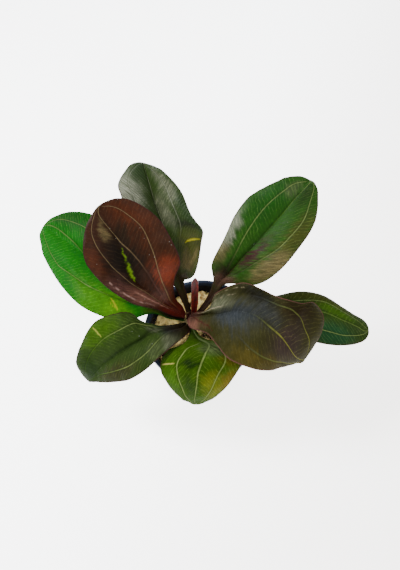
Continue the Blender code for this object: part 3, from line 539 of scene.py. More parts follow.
def build_leaf(name, leaf, look, seed):
    """A fine leaf in place of the plain solid: grooved veins, quilting, folds, wavy edges and a keel."""
    last = len(leaf["midrib"]) - 1
    at = even_stations(leaf)
    share, vein_left, vein_middle, vein_right = column_shares(at, look)
    left, middle, right = three_lines(leaf, at)
    edge = np.where((share < 0)[..., None], left[:, None], right[:, None])
    half = edge - middle[:, None]
    half_width = np.linalg.norm(half, axis=2)
    size = np.abs(share)
    grid = middle[:, None] + half * size[..., None]
    grid[..., 2] += half_width * DOME * 4 * size * (1 - size)
    along = np.concatenate([[0], np.cumsum(np.linalg.norm(np.diff(middle, axis=0), axis=1))])[:, None]
    across = share * half_width
    blade = soft_step(at, STALK_END - 0.7, STALK_END + 0.8)[:, None]
    tip = 1 - soft_step(at, last - 0.8, last)[:, None]

    taper = np.interp(at, [0, 2.5, last], [1.5, 1.25, 0.6])[:, None]
    ribs = [(share - line[:, None]) * half_width for line in (vein_left, vein_middle, vein_right)]
    first_station = [vein[0][0] for vein in look["veins"]]
    started = [soft_step(at, first, first + 1.0)[:, None] * tip for first in first_station]
    relief = hill(ribs[1], MIDRIB_HALF_WIDTH * taper)
    for rib, on in ((ribs[0], started[0]), (ribs[2], started[1])):
        relief = np.maximum(relief, 0.8 * on * hill(rib, VEIN_HALF_WIDTH * taper))

    swell = np.zeros_like(across)
    for side, (height, waves, phase) in zip((share < 0, share > 0), look["ruffles"]):
        wave = height * np.sin(waves * at + phase)[:, None] * (size ** 2.5) * blade * tip
        swell = np.where(side, wave, swell)
    for station, place, reach_along, reach_across, height in look["folds"]:
        swell = swell + height * hill(at[:, None] - station, reach_along) * hill(share - place, reach_across)
    rng = random.Random(seed)
    for reach in (15.0, 9.0, 5.5, 3.2):
        turn, shift = rng.uniform(0, math.pi), rng.uniform(0, 6)
        wave = np.sin((along * math.cos(turn) + across * math.sin(turn)) * 2 * math.pi / reach + shift)
        swell = swell + wave * reach * 0.011 * blade * tip * (0.4 + 0.6 * size)
    strength, spacing, slant = look["cross"]
    wander = 0.35 * np.sin(along * 0.9 + seed) * np.sin(across * 0.7)
    quilt = np.cos((along - slant * np.abs(across) + wander) * 2 * math.pi / spacing)
    between = np.abs(ribs).min(0)
    quilt = (np.abs(quilt) ** 0.7 - 0.5) * QUILT * blade * tip * soft_step(between, 0.1, 1.6)
    channel = 0.55 * (1 - blade) * hill(across, 1.0)
    thickness = (EDGE_THICKNESS + (THICKNESS - EDGE_THICKNESS) * (1 - size ** 6)) * (0.55 + 0.45 * tip)
    normal = grid_normals(grid)
    upper = grid + normal * (swell + quilt - relief * 0.16 * blade - channel + thickness / 2)[..., None]
    keel_width = np.minimum(KEEL_HALF_WIDTH, np.maximum(half_width, 0.4))
    keel = np.interp(at, range(len(KEEL_DEPTHS)), KEEL_DEPTHS)[:, None]
    keel = keel * np.clip(1 - (across / keel_width) ** 2, 0, 1) ** 0.8
    rib_below = relief * 0.24 * blade * soft_step(size, 0.05, 0.2)
    lower = grid + normal * (swell + quilt - keel - rib_below - thickness / 2)[..., None]

    points = np.concatenate([upper.reshape(-1, 3), lower.reshape(-1, 3)]) * MM
    faces = closed_sheet(*share.shape).tolist()

    colour = paint_field(look, at, *feathered(look, at[:, None], share, half_width, along, seed))
    colour = add_marks(look, colour, at, share, half_width)
    halves = (vein_left / 2 + vein_middle / 2, vein_right / 2 + vein_middle / 2)
    is_mid = (share > halves[0][:, None]) & (share < halves[1][:, None])
    mid_colour, lateral_colour = (colour_ramp(at, look[key])[:, None] for key in ("mid", "lateral"))
    rib_colour = np.where(is_mid[..., None], mid_colour, lateral_colour)
    rib_on = np.where(is_mid, 1.0, np.where(share < 0, started[0], started[1]))
    if "fade" in look:
        rib_on = rib_on * soft_step(at, *look["fade"])[:, None]
    to_edge = (1 - size) * half_width
    to_edge = np.minimum(to_edge, along[-1, 0] + 0.6 - along)
    whole = np.ones_like(share)
    flow = np.stack([along * whole, across, whole], -1)
    state = np.stack([between / taper * np.where(is_mid, 0.8, 1.0), np.minimum(to_edge, 9.0),
                      blade * tip * whole], -1)
    rib_colour = np.concatenate([rib_colour, rib_on[..., None]], -1)
    fields = {"tint": colour, "rib_tint": rib_colour, "leaf_mm": flow, "state": state}
    attributes = {key: np.tile(field.reshape(share.size, -1), (2, 1)) for key, field in fields.items()}
    attributes["under"] = np.repeat([0.0, 1.0], share.size)
    made = grid_mesh(name + "_fine", points, faces, attributes)
    place_piece(made, leaf_material(name, look, seed), name)


class Tree:
    """Builds a material's nodes with short calls."""

    def __init__(self, name):
        self.material = bpy.data.materials.new(name)
        self.material.use_nodes = True
        self.nodes = self.material.node_tree.nodes
        self.shader = self.nodes["Principled BSDF"]

    def put(self, socket, value):
        if isinstance(value, bpy.types.NodeSocket):
            self.material.node_tree.links.new(value, socket)
        else:
            socket.default_value = (*value, 1.0) if socket.type == "RGBA" else value

    def set(self, **inputs):
        for key, value in inputs.items():
            self.put(self.shader.inputs[key.replace("_", " ")], value)

    def node(self, kind, inputs, **settings):
        """A new node of the given kind with its settings, and its inputs by number or name."""
        made = self.nodes.new("ShaderNode" + kind)
        for key, value in settings.items():
            setattr(made, key, value)
        for key, value in inputs.items():
            self.put(made.inputs[key], value)
        return made.outputs

    def attribute(self, name, output="Fac"):
        return self.node("Attribute", {}, attribute_name=name)[output]

    def place(self):
        return self.node("TexCoord", {})["Object"]

    def split(self, vector):
        return self.node("SeparateXYZ", {0: vector})

    def join(self, x, y):
        return self.node("CombineXYZ", {0: x, 1: y, 2: 0.0})[0]

    def math(self, operation, a, b=0.0, clamp=False):
        return self.node("Math", {0: a, 1: b}, operation=operation, use_clamp=clamp)[0]

    def times(self, *values):
        return reduce(partial(self.math, "MULTIPLY"), values)

    def plus(self, *values):
        return reduce(partial(self.math, "ADD"), values)

    def mix(self, share, a, b, blend="MIX"):
        inputs = {0: share, 6: a, 7: b}
        return self.node("Mix", inputs, data_type="RGBA", blend_type=blend, clamp_factor=True)[2]

    def tinted(self, colour, factor):
        return self.mix(1.0, colour, factor, "MULTIPLY")

    def range(self, value, low, high, to_low=0.0, to_high=1.0):
        inputs = dict(enumerate((value, low, high, to_low, to_high)))
        return self.node("MapRange", inputs, interpolation_type="SMOOTHSTEP")[0]

    def stretch(self, vector, scale=(1, 1, 1), shift=(0, 0, 0)):
        return self.node("Mapping", {"Vector": vector, "Scale": scale, "Location": shift})[0]

    def noise(self, vector, scale, detail=3.0, roughness=0.55):
        inputs = {"Vector": vector, "Scale": scale, "Detail": detail, "Roughness": roughness}
        return self.node("TexNoise", inputs)["Fac"]

    def cells(self, vector, scale):
        return self.node("TexVoronoi", {"Vector": vector, "Scale": scale})["Distance"]

    def bump(self, height, strength, distance):
        return self.node("Bump", {"Strength": strength, "Distance": distance, "Height": height})[0]


def leaf_material(name, look, seed):
    """Leaf skin: painted tint, mottling, streaks of painted sheen, veins, a dark edge, specks, a dull
    underside.
    """
    t = Tree(name + "_skin")
    tint, streaky = t.attribute("tint", "Color"), t.attribute("tint", "Alpha")
    rib_tint, rib_on = t.attribute("rib_tint", "Color"), t.attribute("rib_tint", "Alpha")
    along, across, _ = t.split(t.attribute("leaf_mm", "Vector"))
    to_rib, to_edge, blade = t.split(t.attribute("state", "Vector"))
    under = t.attribute("under")
    local = t.join(t.plus(along, seed * 31.0), t.plus(across, seed * 17.0))

    strength, spacing, slant = look["cross"]
    out = t.math("ABSOLUTE", across)
    slanted = t.plus(along, t.times(out, -slant), t.times(out, out, -0.012))
    wander = t.plus(t.times(t.noise(local, 0.16, 2.0), 4.0), t.times(t.noise(local, 0.9, 2.0), 0.7))
    phase = t.times(t.plus(slanted, wander), 1 / spacing)
    to_line = t.math("ABSOLUTE", t.plus(t.math("FRACT", phase), -0.5))
    broken = t.range(t.noise(local, 0.33, 4.0, 0.65), 0.36, 0.56)
    cross_line = t.times(t.range(to_line, 0.40, 0.49), broken, blade)

    flow = t.join(slanted, across)
    fine_streaks = t.noise(t.stretch(flow, (4.2, 0.35, 1.0), (seed, 0, 0)), 1.0, 4.0, 0.7)
    wide_streaks = t.noise(t.stretch(flow, (1.1, 0.14, 1.0), (0, seed, 0)), 1.0, 3.0, 0.6)
    streaks = t.plus(t.times(fine_streaks, 0.55), t.times(wide_streaks, 0.45))
    mottle = t.noise(local, 0.2, 5.0, 0.62)
    blotch = t.noise(t.stretch(local, shift=(9, 4, 0)), 0.45, 4.0, 0.6)
    fine = t.noise(local, 1.9, 4.0, 0.65)

    colour = t.mix(t.range(mottle, 0.35, 0.65, 0.34, 0.0), tint, t.tinted(tint, (0.35, 0.4, 0.3)))
    colour = t.mix(t.range(blotch, 0.5, 0.72, 0.0, 0.35), colour, t.tinted(tint, (1.9, 1.8, 1.6)))
    colour = t.mix(t.range(fine, 0.42, 0.66, 0.3, 0.0), colour, t.tinted(tint, (0.45, 0.5, 0.4)))
    # Dark and bright streaks along the cross veins, as strong as the patches ask; the bright streaks are
    # painted sheen.
    dark_streak = t.times(t.range(streaks, 0.55, 0.43), streaky)
    colour = t.mix(dark_streak, colour, t.tinted(tint, (0.16, 0.2, 0.12)))
    sheen_streak = t.times(t.range(streaks, 0.56, 0.66), streaky)
    colour = t.mix(sheen_streak, colour, t.tinted(tint, (1.7, 1.7, 1.8)))
    cross_tint = t.mix(0.45, t.tinted(tint, (2.6, 2.5, 2.2)), rib_tint)
    colour = t.mix(t.times(cross_line, strength), colour, cross_tint)
    beside = t.times(t.range(to_rib, 1.2, 0.3), rib_on, 0.4)
    colour = t.mix(beside, colour, t.tinted(colour, (0.35, 0.42, 0.3)))
    line = t.range(to_rib, look["rib"] * 1.25, look["rib"] * 0.6)
    rib = t.times(line, rib_on, t.range(t.noise(local, 0.4), 0.3, 0.6, 0.6, 1.0))
    colour = t.mix(t.times(rib, look["rib_show"]), colour, rib_tint)
    margin = t.range(t.plus(to_edge, t.times(fine, 0.4)), 0.8, 0.4)
    colour = t.mix(t.times(margin, 0.85), colour, paint(look["edge"]))
    smudge = t.range(t.noise(t.stretch(local, shift=(31, 5, 0)), 0.3, 6.0, 0.72), 0.64, 0.72)
    colour = t.mix(t.times(smudge, 0.6), colour, (0.005, 0.005, 0.003))
    speck = t.range(t.cells(t.stretch(local, shift=(7, 3, 0)), 0.36), 0.085, 0.03)
    speck = t.times(speck, t.range(t.noise(local, 0.13), 0.5, 0.58), look["specks"])
    colour = t.mix(speck, colour, (0.3, 0.3, 0.26))
    below = t.mix(t.range(mottle, 0.3, 0.7, 0.55, 0.9), tint, paint(look["under"]))
    below = t.mix(t.times(rib, 0.7), below, rib_tint)
    below = t.mix(t.times(cross_line, 0.3), below, rib_tint)
    colour = t.mix(under, colour, below)

    uneven = t.range(mottle, 0.3, 0.7, 0.0, 0.14)
    rough = t.plus(look["gloss"], uneven, t.times(under, 0.18), t.times(fine, 0.1))
    height = t.plus(t.times(cross_line, -0.5), t.times(fine, 0.5), t.times(streaks, 0.5), t.times(speck, 1.5))
    height = t.plus(height, t.times(t.cells(local, 3.0), 0.3))
    t.set(Specular_IOR_Level=look["shine"])
    t.set(Base_Color=colour, Roughness=rough, Normal=t.bump(height, 0.6, 0.00018))
    return t.material


# Pot's plastic: its two blacks, and how strongly it mirrors
PLASTIC_DARK = (0.0035, 0.004, 0.006)
PLASTIC_LIGHT = (0.008, 0.0095, 0.014)
POT_GLOSS = 0.05


def pot_material():
    """Black moulded plastic, a little scuffed and dusty, with a fine grain, and a painted bluish reflection
    on the rim.
    """
    t = Tree("black_plastic")
    place = t.place()
    grain = t.noise(place, 900.0, 3.0)
    dust = t.range(t.noise(place, 110.0, 5.0, 0.65), 0.5, 0.78)
    scuff = t.range(t.noise(t.stretch(place, (1.0, 1.0, 9.0)), 260.0, 3.0), 0.62, 0.72)
    colour = t.mix(t.range(t.noise(place, 60.0), 0.3, 0.7), PLASTIC_DARK, PLASTIC_LIGHT)
    colour = t.mix(t.times(dust, 0.12), colour, (0.05, 0.046, 0.04))
    colour = t.mix(t.times(scuff, 0.18), colour, (0.04, 0.042, 0.046))
    # Painted reflection: the rim is tinted dark blue, as the sky shows in it.
    colour = t.mix(t.range(t.split(place)[2], 0.0452, 0.0468, 0.0, 0.8), colour, (0.020, 0.028, 0.050))
    t.set(Specular_IOR_Level=POT_GLOSS)
    rough = t.range(t.noise(place, 150.0), 0.3, 0.7, 0.26, 0.44)
    t.set(Base_Color=colour, Roughness=rough, Normal=t.bump(grain, 0.25, 0.00015))
    return t.material


def wool_material(name, bright):
    """Cream mineral wool: pale fibres, painted brown shade between clumps, painted dark shade in hollows, a
    few damp stains.
    """
    t = Tree(name)
    place = t.place()
    hollow_shade = t.attribute("hollow_shade")
    fibres = t.noise(t.stretch(place, (1.0, 0.25, 0.6)), 1500.0, 4.0, 0.7)
    clumps = t.noise(place, 330.0, 4.0, 0.6)
    stain = t.range(t.noise(place, 95.0, 3.0), 0.52, 0.7)
    pale = np.array((0.80, 0.62, 0.24)) * bright
    # Painted shade: the low parts between the clumps are dark brown.
    colour = t.mix(t.range(clumps, 0.36, 0.54), (0.26, 0.15, 0.04), tuple(pale))
    colour = t.mix(t.range(fibres, 0.45, 0.7, 0.0, 0.5), colour, tuple(np.minimum(pale * 1.15, 1.0)))
    colour = t.mix(t.times(stain, 0.45), colour, (0.24, 0.15, 0.045))
    # Painted shade: the hollows go almost black.
    colour = t.mix(hollow_shade, colour, (0.022, 0.011, 0.004))
    height = t.plus(fibres, t.times(clumps, 1.5))
    rough = t.range(clumps, 0.3, 0.7, 0.85, 1.0)
    t.set(Base_Color=colour, Roughness=rough, Normal=t.bump(height, 0.8, 0.0006))
    return t.material


def stalk_material(name, dark, light, gloss):
    """Streaked skin of the rootstock and the rolled young leaf."""
    t = Tree(name)
    place = t.place()
    long_streaks = t.noise(t.stretch(place, (1.0, 1.0, 0.1)), 2200.0, 4.0, 0.65)
    blotch = t.noise(place, 320.0, 4.0, 0.6)
    tone = t.attribute("tone")
    colour = t.mix(t.range(long_streaks, 0.38, 0.62), paint(dark), paint(light))
    colour = t.mix(t.range(blotch, 0.45, 0.7, 0.0, 0.45), colour, paint(dark))
    colour = t.mix(tone, colour, t.tinted(colour, (2.2, 1.9, 1.9)))
    colour = t.mix(t.math("MULTIPLY", tone, -1.0, True), colour, t.tinted(colour, (0.25, 0.25, 0.25)))
    rough = t.range(blotch, 0.3, 0.7, gloss, gloss + 0.15)
    t.set(Base_Color=colour, Roughness=rough, Normal=t.bump(long_streaks, 0.5, 0.0002))
    return t.material


def ring_points(profile, sides, wobble=None):
    """Points of a turned shape: one row for each (radius, height) pair."""
    angle = np.arange(sides) * 2 * math.pi / sides
    rows = []
    for radius, height in profile:
        radii = np.full(sides, radius) if wobble is None else radius + wobble(angle, height)
        rows.append(np.stack([radii * np.cos(angle), radii * np.sin(angle), np.full(sides, height)], -1))
    return np.array(rows)


POT_SIDES = 144
SLOT_END = 0.0017
SHARP_ANGLE = math.radians(38)
WALL_SLOPE = (RIM_RADIUS - RIM_STEP - BASE_RADIUS) / POT_HEIGHT


def wall_at(z):
    """The wall's outer radius at a height."""
    return BASE_RADIUS + WALL_SLOPE * z


def build_pot():
    """The slotted pot: a smooth turned wall with a rounded rim, round-ended wall slots and base slots."""
    per_slot = POT_SIDES // SLOTS
    open_columns = int(per_slot * SLOT_SHARE)
    low, high = WALL_SLOT
    heights = [0.0012, 0.004, 0.008, 0.0115, low, 0.0165, 0.022, 0.0275, 0.033, 0.0375, high, 0.0415, 0.0436]
    outer = [(BASE_SLOT[0], 0.0), (BASE_SLOT[1], 0.0)]
    outer += [(BASE_RADIUS - 0.0011, 0.0), (BASE_RADIUS - 0.0004, 0.0003)]
    outer += [(wall_at(z), z) for z in heights]
    rim_low = POT_HEIGHT - RIM_DEPTH
    outer += [(wall_at(rim_low), rim_low), (RIM_RADIUS - 0.0002, rim_low), (RIM_RADIUS, rim_low + 0.0003),
              (RIM_RADIUS, POT_HEIGHT - 0.0006), (RIM_RADIUS - 0.0002, POT_HEIGHT - 0.0002),
              (RIM_RADIUS - 0.0006, POT_HEIGHT), (RIM_RADIUS - 0.0014, POT_HEIGHT)]
    inner = [(BASE_SLOT[0], BASE_THICKNESS), (BASE_SLOT[1], BASE_THICKNESS),
             (BASE_RADIUS - 0.0021, BASE_THICKNESS), (BASE_RADIUS - 0.0014, BASE_THICKNESS + 0.0005)]
    inner += [(wall_at(max(z, 0.0022)) - WALL, max(z, 0.0026)) for z in heights]
    inner += [(wall_at(rim_low) - WALL, rim_low), (wall_at(0.0460) - WALL, 0.0460),
              (RIM_RADIUS - 0.0022, 0.0468), (RIM_RADIUS - 0.0021, POT_HEIGHT - 0.0006),
              (RIM_RADIUS - 0.0019, POT_HEIGHT - 0.0002), (RIM_RADIUS - 0.0017, POT_HEIGHT - 0.0001),
              (RIM_RADIUS - 0.0015, POT_HEIGHT)]
    rows = len(outer)
    first_wall = outer.index((wall_at(low), low))
    last_wall = outer.index((wall_at(high), high))
    shells = [ring_points(profile, POT_SIDES) for profile in (outer, inner)]
    column = np.arange(POT_SIDES) % per_slot
    inside = column <= open_columns
    arch = 1 - np.sqrt(np.clip(1 - (column / open_columns * 2 - 1) ** 2, 0, 1))
    bend = np.where(inside, arch * SLOT_END, 0.0)
    for shell in shells:
        for row, sign, share in ((first_wall, 1, 1.0), (first_wall + 1, 1, 0.4), (first_wall - 1, 1, 0.5),
                                 (last_wall, -1, 1.0), (last_wall - 1, -1, 0.4), (last_wall + 1, -1, 0.4)):
            shell[row, :, 2] += bend * sign * share
    solid = np.ones((rows - 1, POT_SIDES), bool)
    is_open = column < open_columns
    solid[first_wall:last_wall] = ~is_open
    solid[0] = ~is_open
    points = np.concatenate([shell.reshape(-1, 3) for shell in shells])
    index = np.arange(rows * POT_SIDES).reshape(rows, POT_SIDES)
    count = rows * POT_SIDES
    faces = []

    def close(start, end):
        """A narrow face from the outer shell to the inner one."""
        faces.append((start, end, end + count, start + count))

    for row in range(rows - 1):
        for side in range(POT_SIDES):
            after = (side + 1) % POT_SIDES
            if not solid[row, side]:
                continue
            corners = ((row, side), (row, after), (row + 1, after), (row + 1, side))
            a, b, c, d = (int(index[corner]) for corner in corners)
            faces.append((a, b, c, d))
            faces.append((d + count, c + count, b + count, a + count))
            if not solid[row, side - 1]:
                close(a, d)
            if not solid[row, after]:
                close(c, b)
            if row and not solid[row - 1, side]:
                close(b, a)
            if row < rows - 2 and not solid[row + 1, side]:
                close(d, c)
    for side in range(POT_SIDES):
        after = (side + 1) % POT_SIDES
        a, b = int(index[0, side]), int(index[0, after])
        close(int(index[-1, side]), int(index[-1, after]))
        if not solid[0, side]:
            close(a, b)
        faces.append((b, a, 2 * count))
        faces.append((a + count, b + count, 2 * count + 1))
    points = np.concatenate([points, [(0, 0, 0), (0, 0, BASE_THICKNESS)]])
    made = grid_mesh("pot_fine", points, faces)
    made.data.set_sharp_from_angle(angle=SHARP_ANGLE)
    bevel = made.modifiers.new("rounded_edges", "BEVEL")
    bevel.width = 0.00016
    bevel.segments = 2
    bevel.limit_method = "ANGLE"
    bevel.angle_limit = SHARP_ANGLE
    place_piece(made, pot_material(), "pot")


def wool_height(x, y):
    """Height of the wool's top: clumps, crumbs, torn hollows, lower round the rootstock; and its painted
    shade.
    """
    place = Vector((x, y, 0))
    clump = noise.fractal(place * 300, 0.7, 2.0, 4) * 0.0011
    crumb = abs(noise.noise(place * 900 + Vector((5, 0, 0)))) * 0.0009
    torn = max(0.0, noise.noise(place * 260 + Vector((0, 7, 3))) - 0.12) * 2.2
    from_crown = math.hypot(x - CROWN_CENTRE[0], y - CROWN_CENTRE[1])
    dip = 0.0026 * math.exp(-((from_crown / 0.009) ** 2))
    # Painted shade: the wool goes dark in the torn hollows, round the rootstock and in two more spots below.
    hollow_shade = min(1.0, torn * 1.6 + 0.9 * math.exp(-((from_crown / 0.0055) ** 4)))
    hollow_shade = max(hollow_shade, 0.9 * math.exp(-(((x + 0.007) / 0.0024) ** 2 + ((y - 0.0095) / 0.005) ** 2)))
    hollow_shade = max(hollow_shade, 0.9 * math.exp(-(((x - 0.003) / 0.009) ** 2 + ((y + 0.013) / 0.006) ** 2)))
    return WOOL_TOP + clump + crumb - hollow_shade * 0.0022 - dip, hollow_shade


def build_wool():
    """The wool plug: a torn, lumpy top, a rough side that bulges into the slots, and loose fibres."""
    sides, rings = 150, 56
    rng = random.Random(7)
    points, hollow_shade, rows = [], [], []

    def add(x, y, z, depth):
        points.append((x, y, z))
        hollow_shade.append(depth)
        return len(points) - 1

    top_edge = wall_at(WOOL_TOP) - WALL - 0.0004
    levels = np.linspace(BASE_THICKNESS + 0.0004, WOOL_TOP - 0.001, 44)
    for z in levels:
        row = []
        for s in range(sides):
            angle = 2 * math.pi * s / sides
            radius = wall_at(z) - WALL - 0.0004
            unit = Vector((math.cos(angle), math.sin(angle), 0))
            rough = noise.fractal(Vector((unit.x * radius, unit.y * radius, z)) * 420, 0.7, 2.0, 4)
            in_slot = (s / sides * SLOTS) % 1
            bulge = 0.0011 * math.exp(-(((in_slot - SLOT_SHARE / 2) / 0.14) ** 2))
            bulge *= 1.0 if WALL_SLOT[0] + 0.001 < z < WALL_SLOT[1] - 0.001 else 0.0
            radius += bulge * (0.6 + rough) + min(0.0, rough) * 0.0007
            # Painted shade in the sunken parts of the wool's side.
            row.append(add(unit.x * radius, unit.y * radius, z, max(0.0, -rough) * 0.9))
        rows.append(row)
    for ring in range(rings + 1):
        share = ring / rings
        row = []
        for s in range(sides):
            angle = 2 * math.pi * s / sides
            radius = top_edge * (1 - share) + 0.0004 * share
            centre = Vector(CROWN_CENTRE) * share
            x = centre.x + radius * math.cos(angle)
            y = centre.y + radius * math.sin(angle)
            z, depth = wool_height(x, y)
            row.append(add(x, y, min(z, WOOL_TOP + 0.0016), depth))
        rows.append(row)
    faces = []
    for low, high in zip(rows[:-1], rows[1:]):
        for s in range(sides):
            after = (s + 1) % sides
            faces.append((low[s], low[after], high[after], high[s]))
    faces.append(tuple(reversed(rows[0])))
    faces.append(tuple(rows[-1]))
    made = grid_mesh("wool_body", points, faces, {"hollow_shade": hollow_shade})
    place_piece(made, wool_material("mineral_wool", 1.0), "wool_plug")

    bm = bmesh.new()
    for _ in range(WOOL_FIBRES):
        angle, reach = rng.uniform(0, 2 * math.pi), top_edge * 0.97 * math.sqrt(rng.random())
        start = Vector((reach * math.cos(angle), reach * math.sin(angle), 0))
        near = math.hypot(start.x - CROWN_CENTRE[0], start.y - CROWN_CENTRE[1])
        if near < 0.0075:
            continue
        start.z = wool_height(start.x, start.y)[0] - 0.0002
        turn = rng.uniform(0, 2 * math.pi)
        step = Vector((math.cos(turn), math.sin(turn), rng.uniform(-0.1, 0.55))) * rng.uniform(0.0003, 0.0006)
        add_fibre(bm, start, step, rng, rng.uniform(0.00003, 0.00006), 5, top_edge)
    mesh = bpy.data.meshes.new("wool_fibres")
    bm.to_mesh(mesh)
    bm.free()
    mesh.attributes.new("hollow_shade", "FLOAT", "POINT")
    fibres = link_object("wool_fibres", mesh)
    mesh.materials.append(wool_material("wool_strands", 1.08))
    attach(fibres, BODY)


def add_fibre(bm, place, step, rng, radius, segments, limit):
    """One bent three-sided fibre."""
    rings = []
    for number in range(segments + 1):
        side = step.cross(Vector((0.3, 0.2, 1.0))).normalized()
        up = side.cross(step).normalized()
        thin = radius * (1.0 if number < segments else 0.4)
        rings.append([
            bm.verts.new(place + side * thin * math.cos(a) + up * thin * math.sin(a)) for a in (0.5, 2.6, 4.7)
        ])
        jitter = Vector((rng.gauss(0, 1), rng.gauss(0, 1), rng.gauss(-0.25, 0.8)))
        step = (step + jitter * step.length * 0.35).normalized() * step.length
        place = place + step
        if math.hypot(place.x, place.y) > limit or place.z > POT_HEIGHT - 0.0035:
            place = place - step * 1.5
            step = -step
    for low, high in zip(rings[:-1], rings[1:]):
        for i in range(3):
            bm.faces.new((low[i], low[(i + 1) % 3], high[(i + 1) % 3], high[i]))
    bm.faces.new(rings[0][::-1])
    bm.faces.new(rings[-1])


def by_crown(angle, radius, share):
    """A point at an angle, a radius and a share of the height of the rootstock."""
    return (CROWN_CENTRE[0] + radius * math.cos(angle), CROWN_CENTRE[1] + radius * math.sin(angle),
            CROWN_BOTTOM + (CROWN_TOP - CROWN_BOTTOM) * share)


def build_crown():
    """The rootstock: a ribbed bulb wrapped in short torn sheaths of old leaves."""
    sides, rows = 48, 26
    points, tones = [], []
    for row in range(rows + 1):
        share = row / rows
        swell = np.interp(share, (0, 0.2, 0.6, 0.82, 0.95, 1.0), (0.75, 1.0, 1.0, 0.85, 0.5, 0.06))
        for s in range(sides):
            angle = 2 * math.pi * s / sides
            rib = 0.05 * math.sin(angle * 9 + share * 3) + 0.03 * math.sin(angle * 23)
            band = 0.05 * math.sin(share * 30 + math.sin(angle * 2))
            radius = CROWN_RADIUS * swell * (1 + rib + band * swell)
            points.append(by_crown(angle, radius, share))
            tones.append(0.25 * math.sin(share * 30 + math.sin(angle * 2)))
    index = np.arange((rows + 1) * sides).reshape(rows + 1, sides)
    closed = np.concatenate([index, index[:, :1]], 1)
    faces = [tuple(face) for face in quads(closed).tolist()]
    faces.append(tuple(index[0][::-1].tolist()))
    faces.append(tuple(index[-1].tolist()))
    rng = random.Random(3)
    for number in range(9):
        turn = number * 2.4
        wide = rng.uniform(0.45, 0.7)
        low, tall = rng.uniform(0.3, 0.45), rng.uniform(0.35, 0.5)
        add_sheath(points, faces, tones, turn, wide, low, tall, rng.uniform(0.2, 0.9), rng)
    made = grid_mesh("crown_fine", points, faces, {"tone": tones})
    place_piece(made, stalk_material("rootstock", "2c1008", "6c3020", 0.5), "crown")


def add_sheath(points, faces, tones, turn, wide, low, tall, spread, rng):
    """A short curved scale with a torn tip that hugs the rootstock."""
    rows, columns = 9, 9
    start = len(points)
    for layer in (0.0, 1.0):
        for row in range(rows):
            share = row / (rows - 1)
            narrow = 1 - 0.75 * share ** 2
            lean = 1.04 + spread * share + 0.05 * layer * (1 - share)
            for column in range(columns):
                place = column / (columns - 1) * 2 - 1
                angle = turn + place * wide * narrow
                torn = rng.uniform(-0.03, 0.03) if row == rows - 1 and not layer else 0.0
                radius = CROWN_RADIUS * (lean + 0.05 * math.cos(place * 9))
                points.append(by_crown(angle, radius, min(0.93, low + tall * share + torn)))
                tones.append(0.5 - 0.5 * share)
    faces.extend(tuple(face) for face in (closed_sheet(rows, columns)[:, ::-1] + start).tolist())


def build_young_leaf():
    """The rolled young leaf: one thin sheet wound on itself, with its free edge in front."""
    rows, columns = 110, 72
    winds, sheet = 1.35, 0.22
    at = np.linspace(0, len(SPEAR_PATH) - 1, rows)
    path = np.array(SPEAR_PATH)
    centre = spline(path, 2 * path[-1] - path[-2], at)
    width = np.interp(at, range(len(SPEAR_WIDTHS)), SPEAR_WIDTHS)
    width = width * np.where(at > 4, np.sqrt(np.clip(1 - ((at - 4) / 1.03) ** 2, 0.01, 1)) * 0.55 + 0.45, 1)
    wind = np.linspace(0, 1, columns)
    free_edge = -0.9 + 0.25 * np.sin(at * 0.8)[:, None]
    angle = free_edge - wind[None, :] * winds * 2 * math.pi
    reach = 1.0 - 0.26 * wind[None, :] ** 0.8
    ridges = 0.012 * np.sin(angle * 13) + 0.008 * np.sin(angle * 29)
    layers = []
    for inset in (0.0, sheet):
        inward = inset * (0.4 + 0.6 * np.sin(wind[None, :] * math.pi) ** 0.3)
        radius = np.maximum(width[:, None] * (reach + ridges) - inward, 0.05)
        offset = np.stack([radius * np.cos(angle), radius * np.sin(angle) * SPEAR_FLATTEN,
                           0.25 * np.sin(angle) * width[:, None] * soft_step(at, 4.0, 5.0)[:, None]], -1)
        layers.append(centre[:, None] + offset)
    points = np.concatenate([layer.reshape(-1, 3) for layer in layers]) * MM
    faces = closed_sheet(rows, columns).tolist()
    edge_glow = np.exp(-((wind / 0.03) ** 2))[None, :] * 0.9
    shade = -0.8 * np.exp(-(((wind - 0.115) / 0.03) ** 2))[None, :]
    stripes = 0.22 * np.sin(angle * 13)
    base = -0.3 * (1 - soft_step(at, 0, 1.5))[:, None]
    tones = np.broadcast_to(edge_glow + shade + stripes + base, (rows, columns)).ravel()
    made = grid_mesh("young_leaf_fine", points, faces, {"tone": np.tile(tones, 2)})
    place_piece(made, stalk_material("crimson_skin", "4e0806", "94180f", 0.3), "young_leaf")


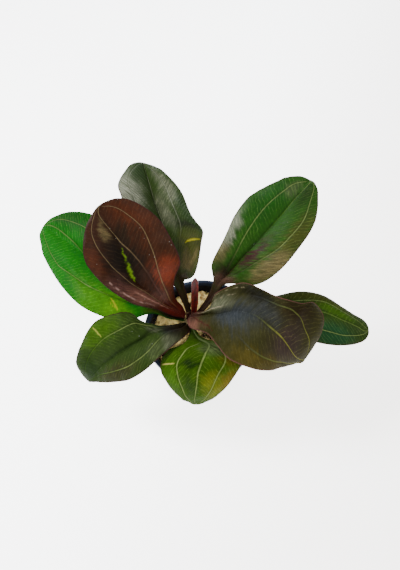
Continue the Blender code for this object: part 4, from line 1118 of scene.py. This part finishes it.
def build_camera():
    """The camera at the photograph's viewing angle, placed by the pot's rim."""
    tilt, roll = math.radians(CAMERA_TILT), math.radians(CAMERA_ROLL)
    forward = Vector((0, math.cos(tilt), -math.sin(tilt)))
    right = Vector((1, 0, 0))
    up = right.cross(forward)
    right, up = right * math.cos(roll) + up * math.sin(roll), up * math.cos(roll) - right * math.sin(roll)
    distance = FOCAL_PIXELS * RIM_RADIUS / RIM_HALF_WIDTH_PIXELS
    aside = (RIM_CENTRE_PIXEL[0] - IMAGE_SIZE[0] / 2) / FOCAL_PIXELS * distance
    below = (RIM_CENTRE_PIXEL[1] - (IMAGE_SIZE[1] - 1) / 2) / FOCAL_PIXELS * distance
    place = Vector((0, 0, POT_HEIGHT)) - forward * distance - right * aside + up * below
    data = bpy.data.cameras.new("camera")
    data.sensor_width = SENSOR
    data.lens = FOCAL_PIXELS / max(IMAGE_SIZE) * SENSOR
    data.clip_start = 0.01
    camera = link_object("camera", data)
    turn = Matrix((right, up, -forward)).transposed().to_4x4()
    camera.matrix_world = Matrix.Translation(place) @ turn
    bpy.context.scene.camera = camera


def build_floor():
    """A plain pale floor that glows a little, like a light table, with a painted warm shadow toward the right
    and front.
    """
    t = Tree("pale_floor")
    colour = t.mix(t.noise(t.place(), 9.0), (0.86, 0.86, 0.86), (0.88, 0.875, 0.87))
    x, y, _ = t.split(t.place())
    # Painted shadow: the glow grows darker and warmer toward the right and front.
    shade = t.range(t.plus(x, t.times(y, -0.5)), -0.09, 0.17)
    glow = t.mix(shade, (1.0, 1.0, 1.0), (0.66, 0.625, 0.585))
    t.set(Base_Color=colour, Roughness=0.7, Emission_Color=glow)
    t.set(Emission_Strength=FLOOR_GLOW)
    mesh = bpy.data.meshes.new("floor")
    corners = [(x * FLOOR_REACH, y * FLOOR_REACH, 0) for x, y in ((-1, -1), (1, -1), (1, 1), (-1, 1))]
    mesh.from_pydata(corners, [], [(0, 1, 2, 3)])
    mesh.materials.append(t.material)
    link_object("floor", mesh)


def add_light(name, place, size, power, colour):
    data = bpy.data.lights.new(name, "AREA")
    data.shape = "RECTANGLE"
    data.size, data.size_y = size
    data.energy = power
    data.color = colour
    light = link_object(name, data)
    light.location = place
    aim = Vector((0, 0.01, 0.06)) - Vector(place)
    light.rotation_euler = aim.to_track_quat("-Z", "Y").to_euler()


def build_light():
    world = bpy.data.worlds.new("studio")
    bpy.context.scene.world = world
    world.use_nodes = True
    sky = world.node_tree.nodes["Background"].inputs
    sky["Color"].default_value = (0.93, 0.97, 1.0, 1.0)
    sky["Strength"].default_value = SKY_STRENGTH
    add_light("window", (-0.40, 0.20, 0.60), (0.2, 0.2), 9.0, (0.98, 0.99, 1.0))
    add_light("ceiling", (0.25, -0.35, 0.80), (0.3, 0.3), 2.5, (1.0, 0.985, 0.96))
    add_light("back", (0.12, 0.60, 0.45), (0.3, 0.15), 1.0, (0.75, 0.87, 1.0))


build_camera()
build_floor()
build_light()
build_pot()
build_wool()
build_crown()
for number, (leaf_name, lines) in enumerate(LEAVES.items()):
    build_leaf(leaf_name, lines, LOOKS[leaf_name], number + 1)
build_young_leaf()
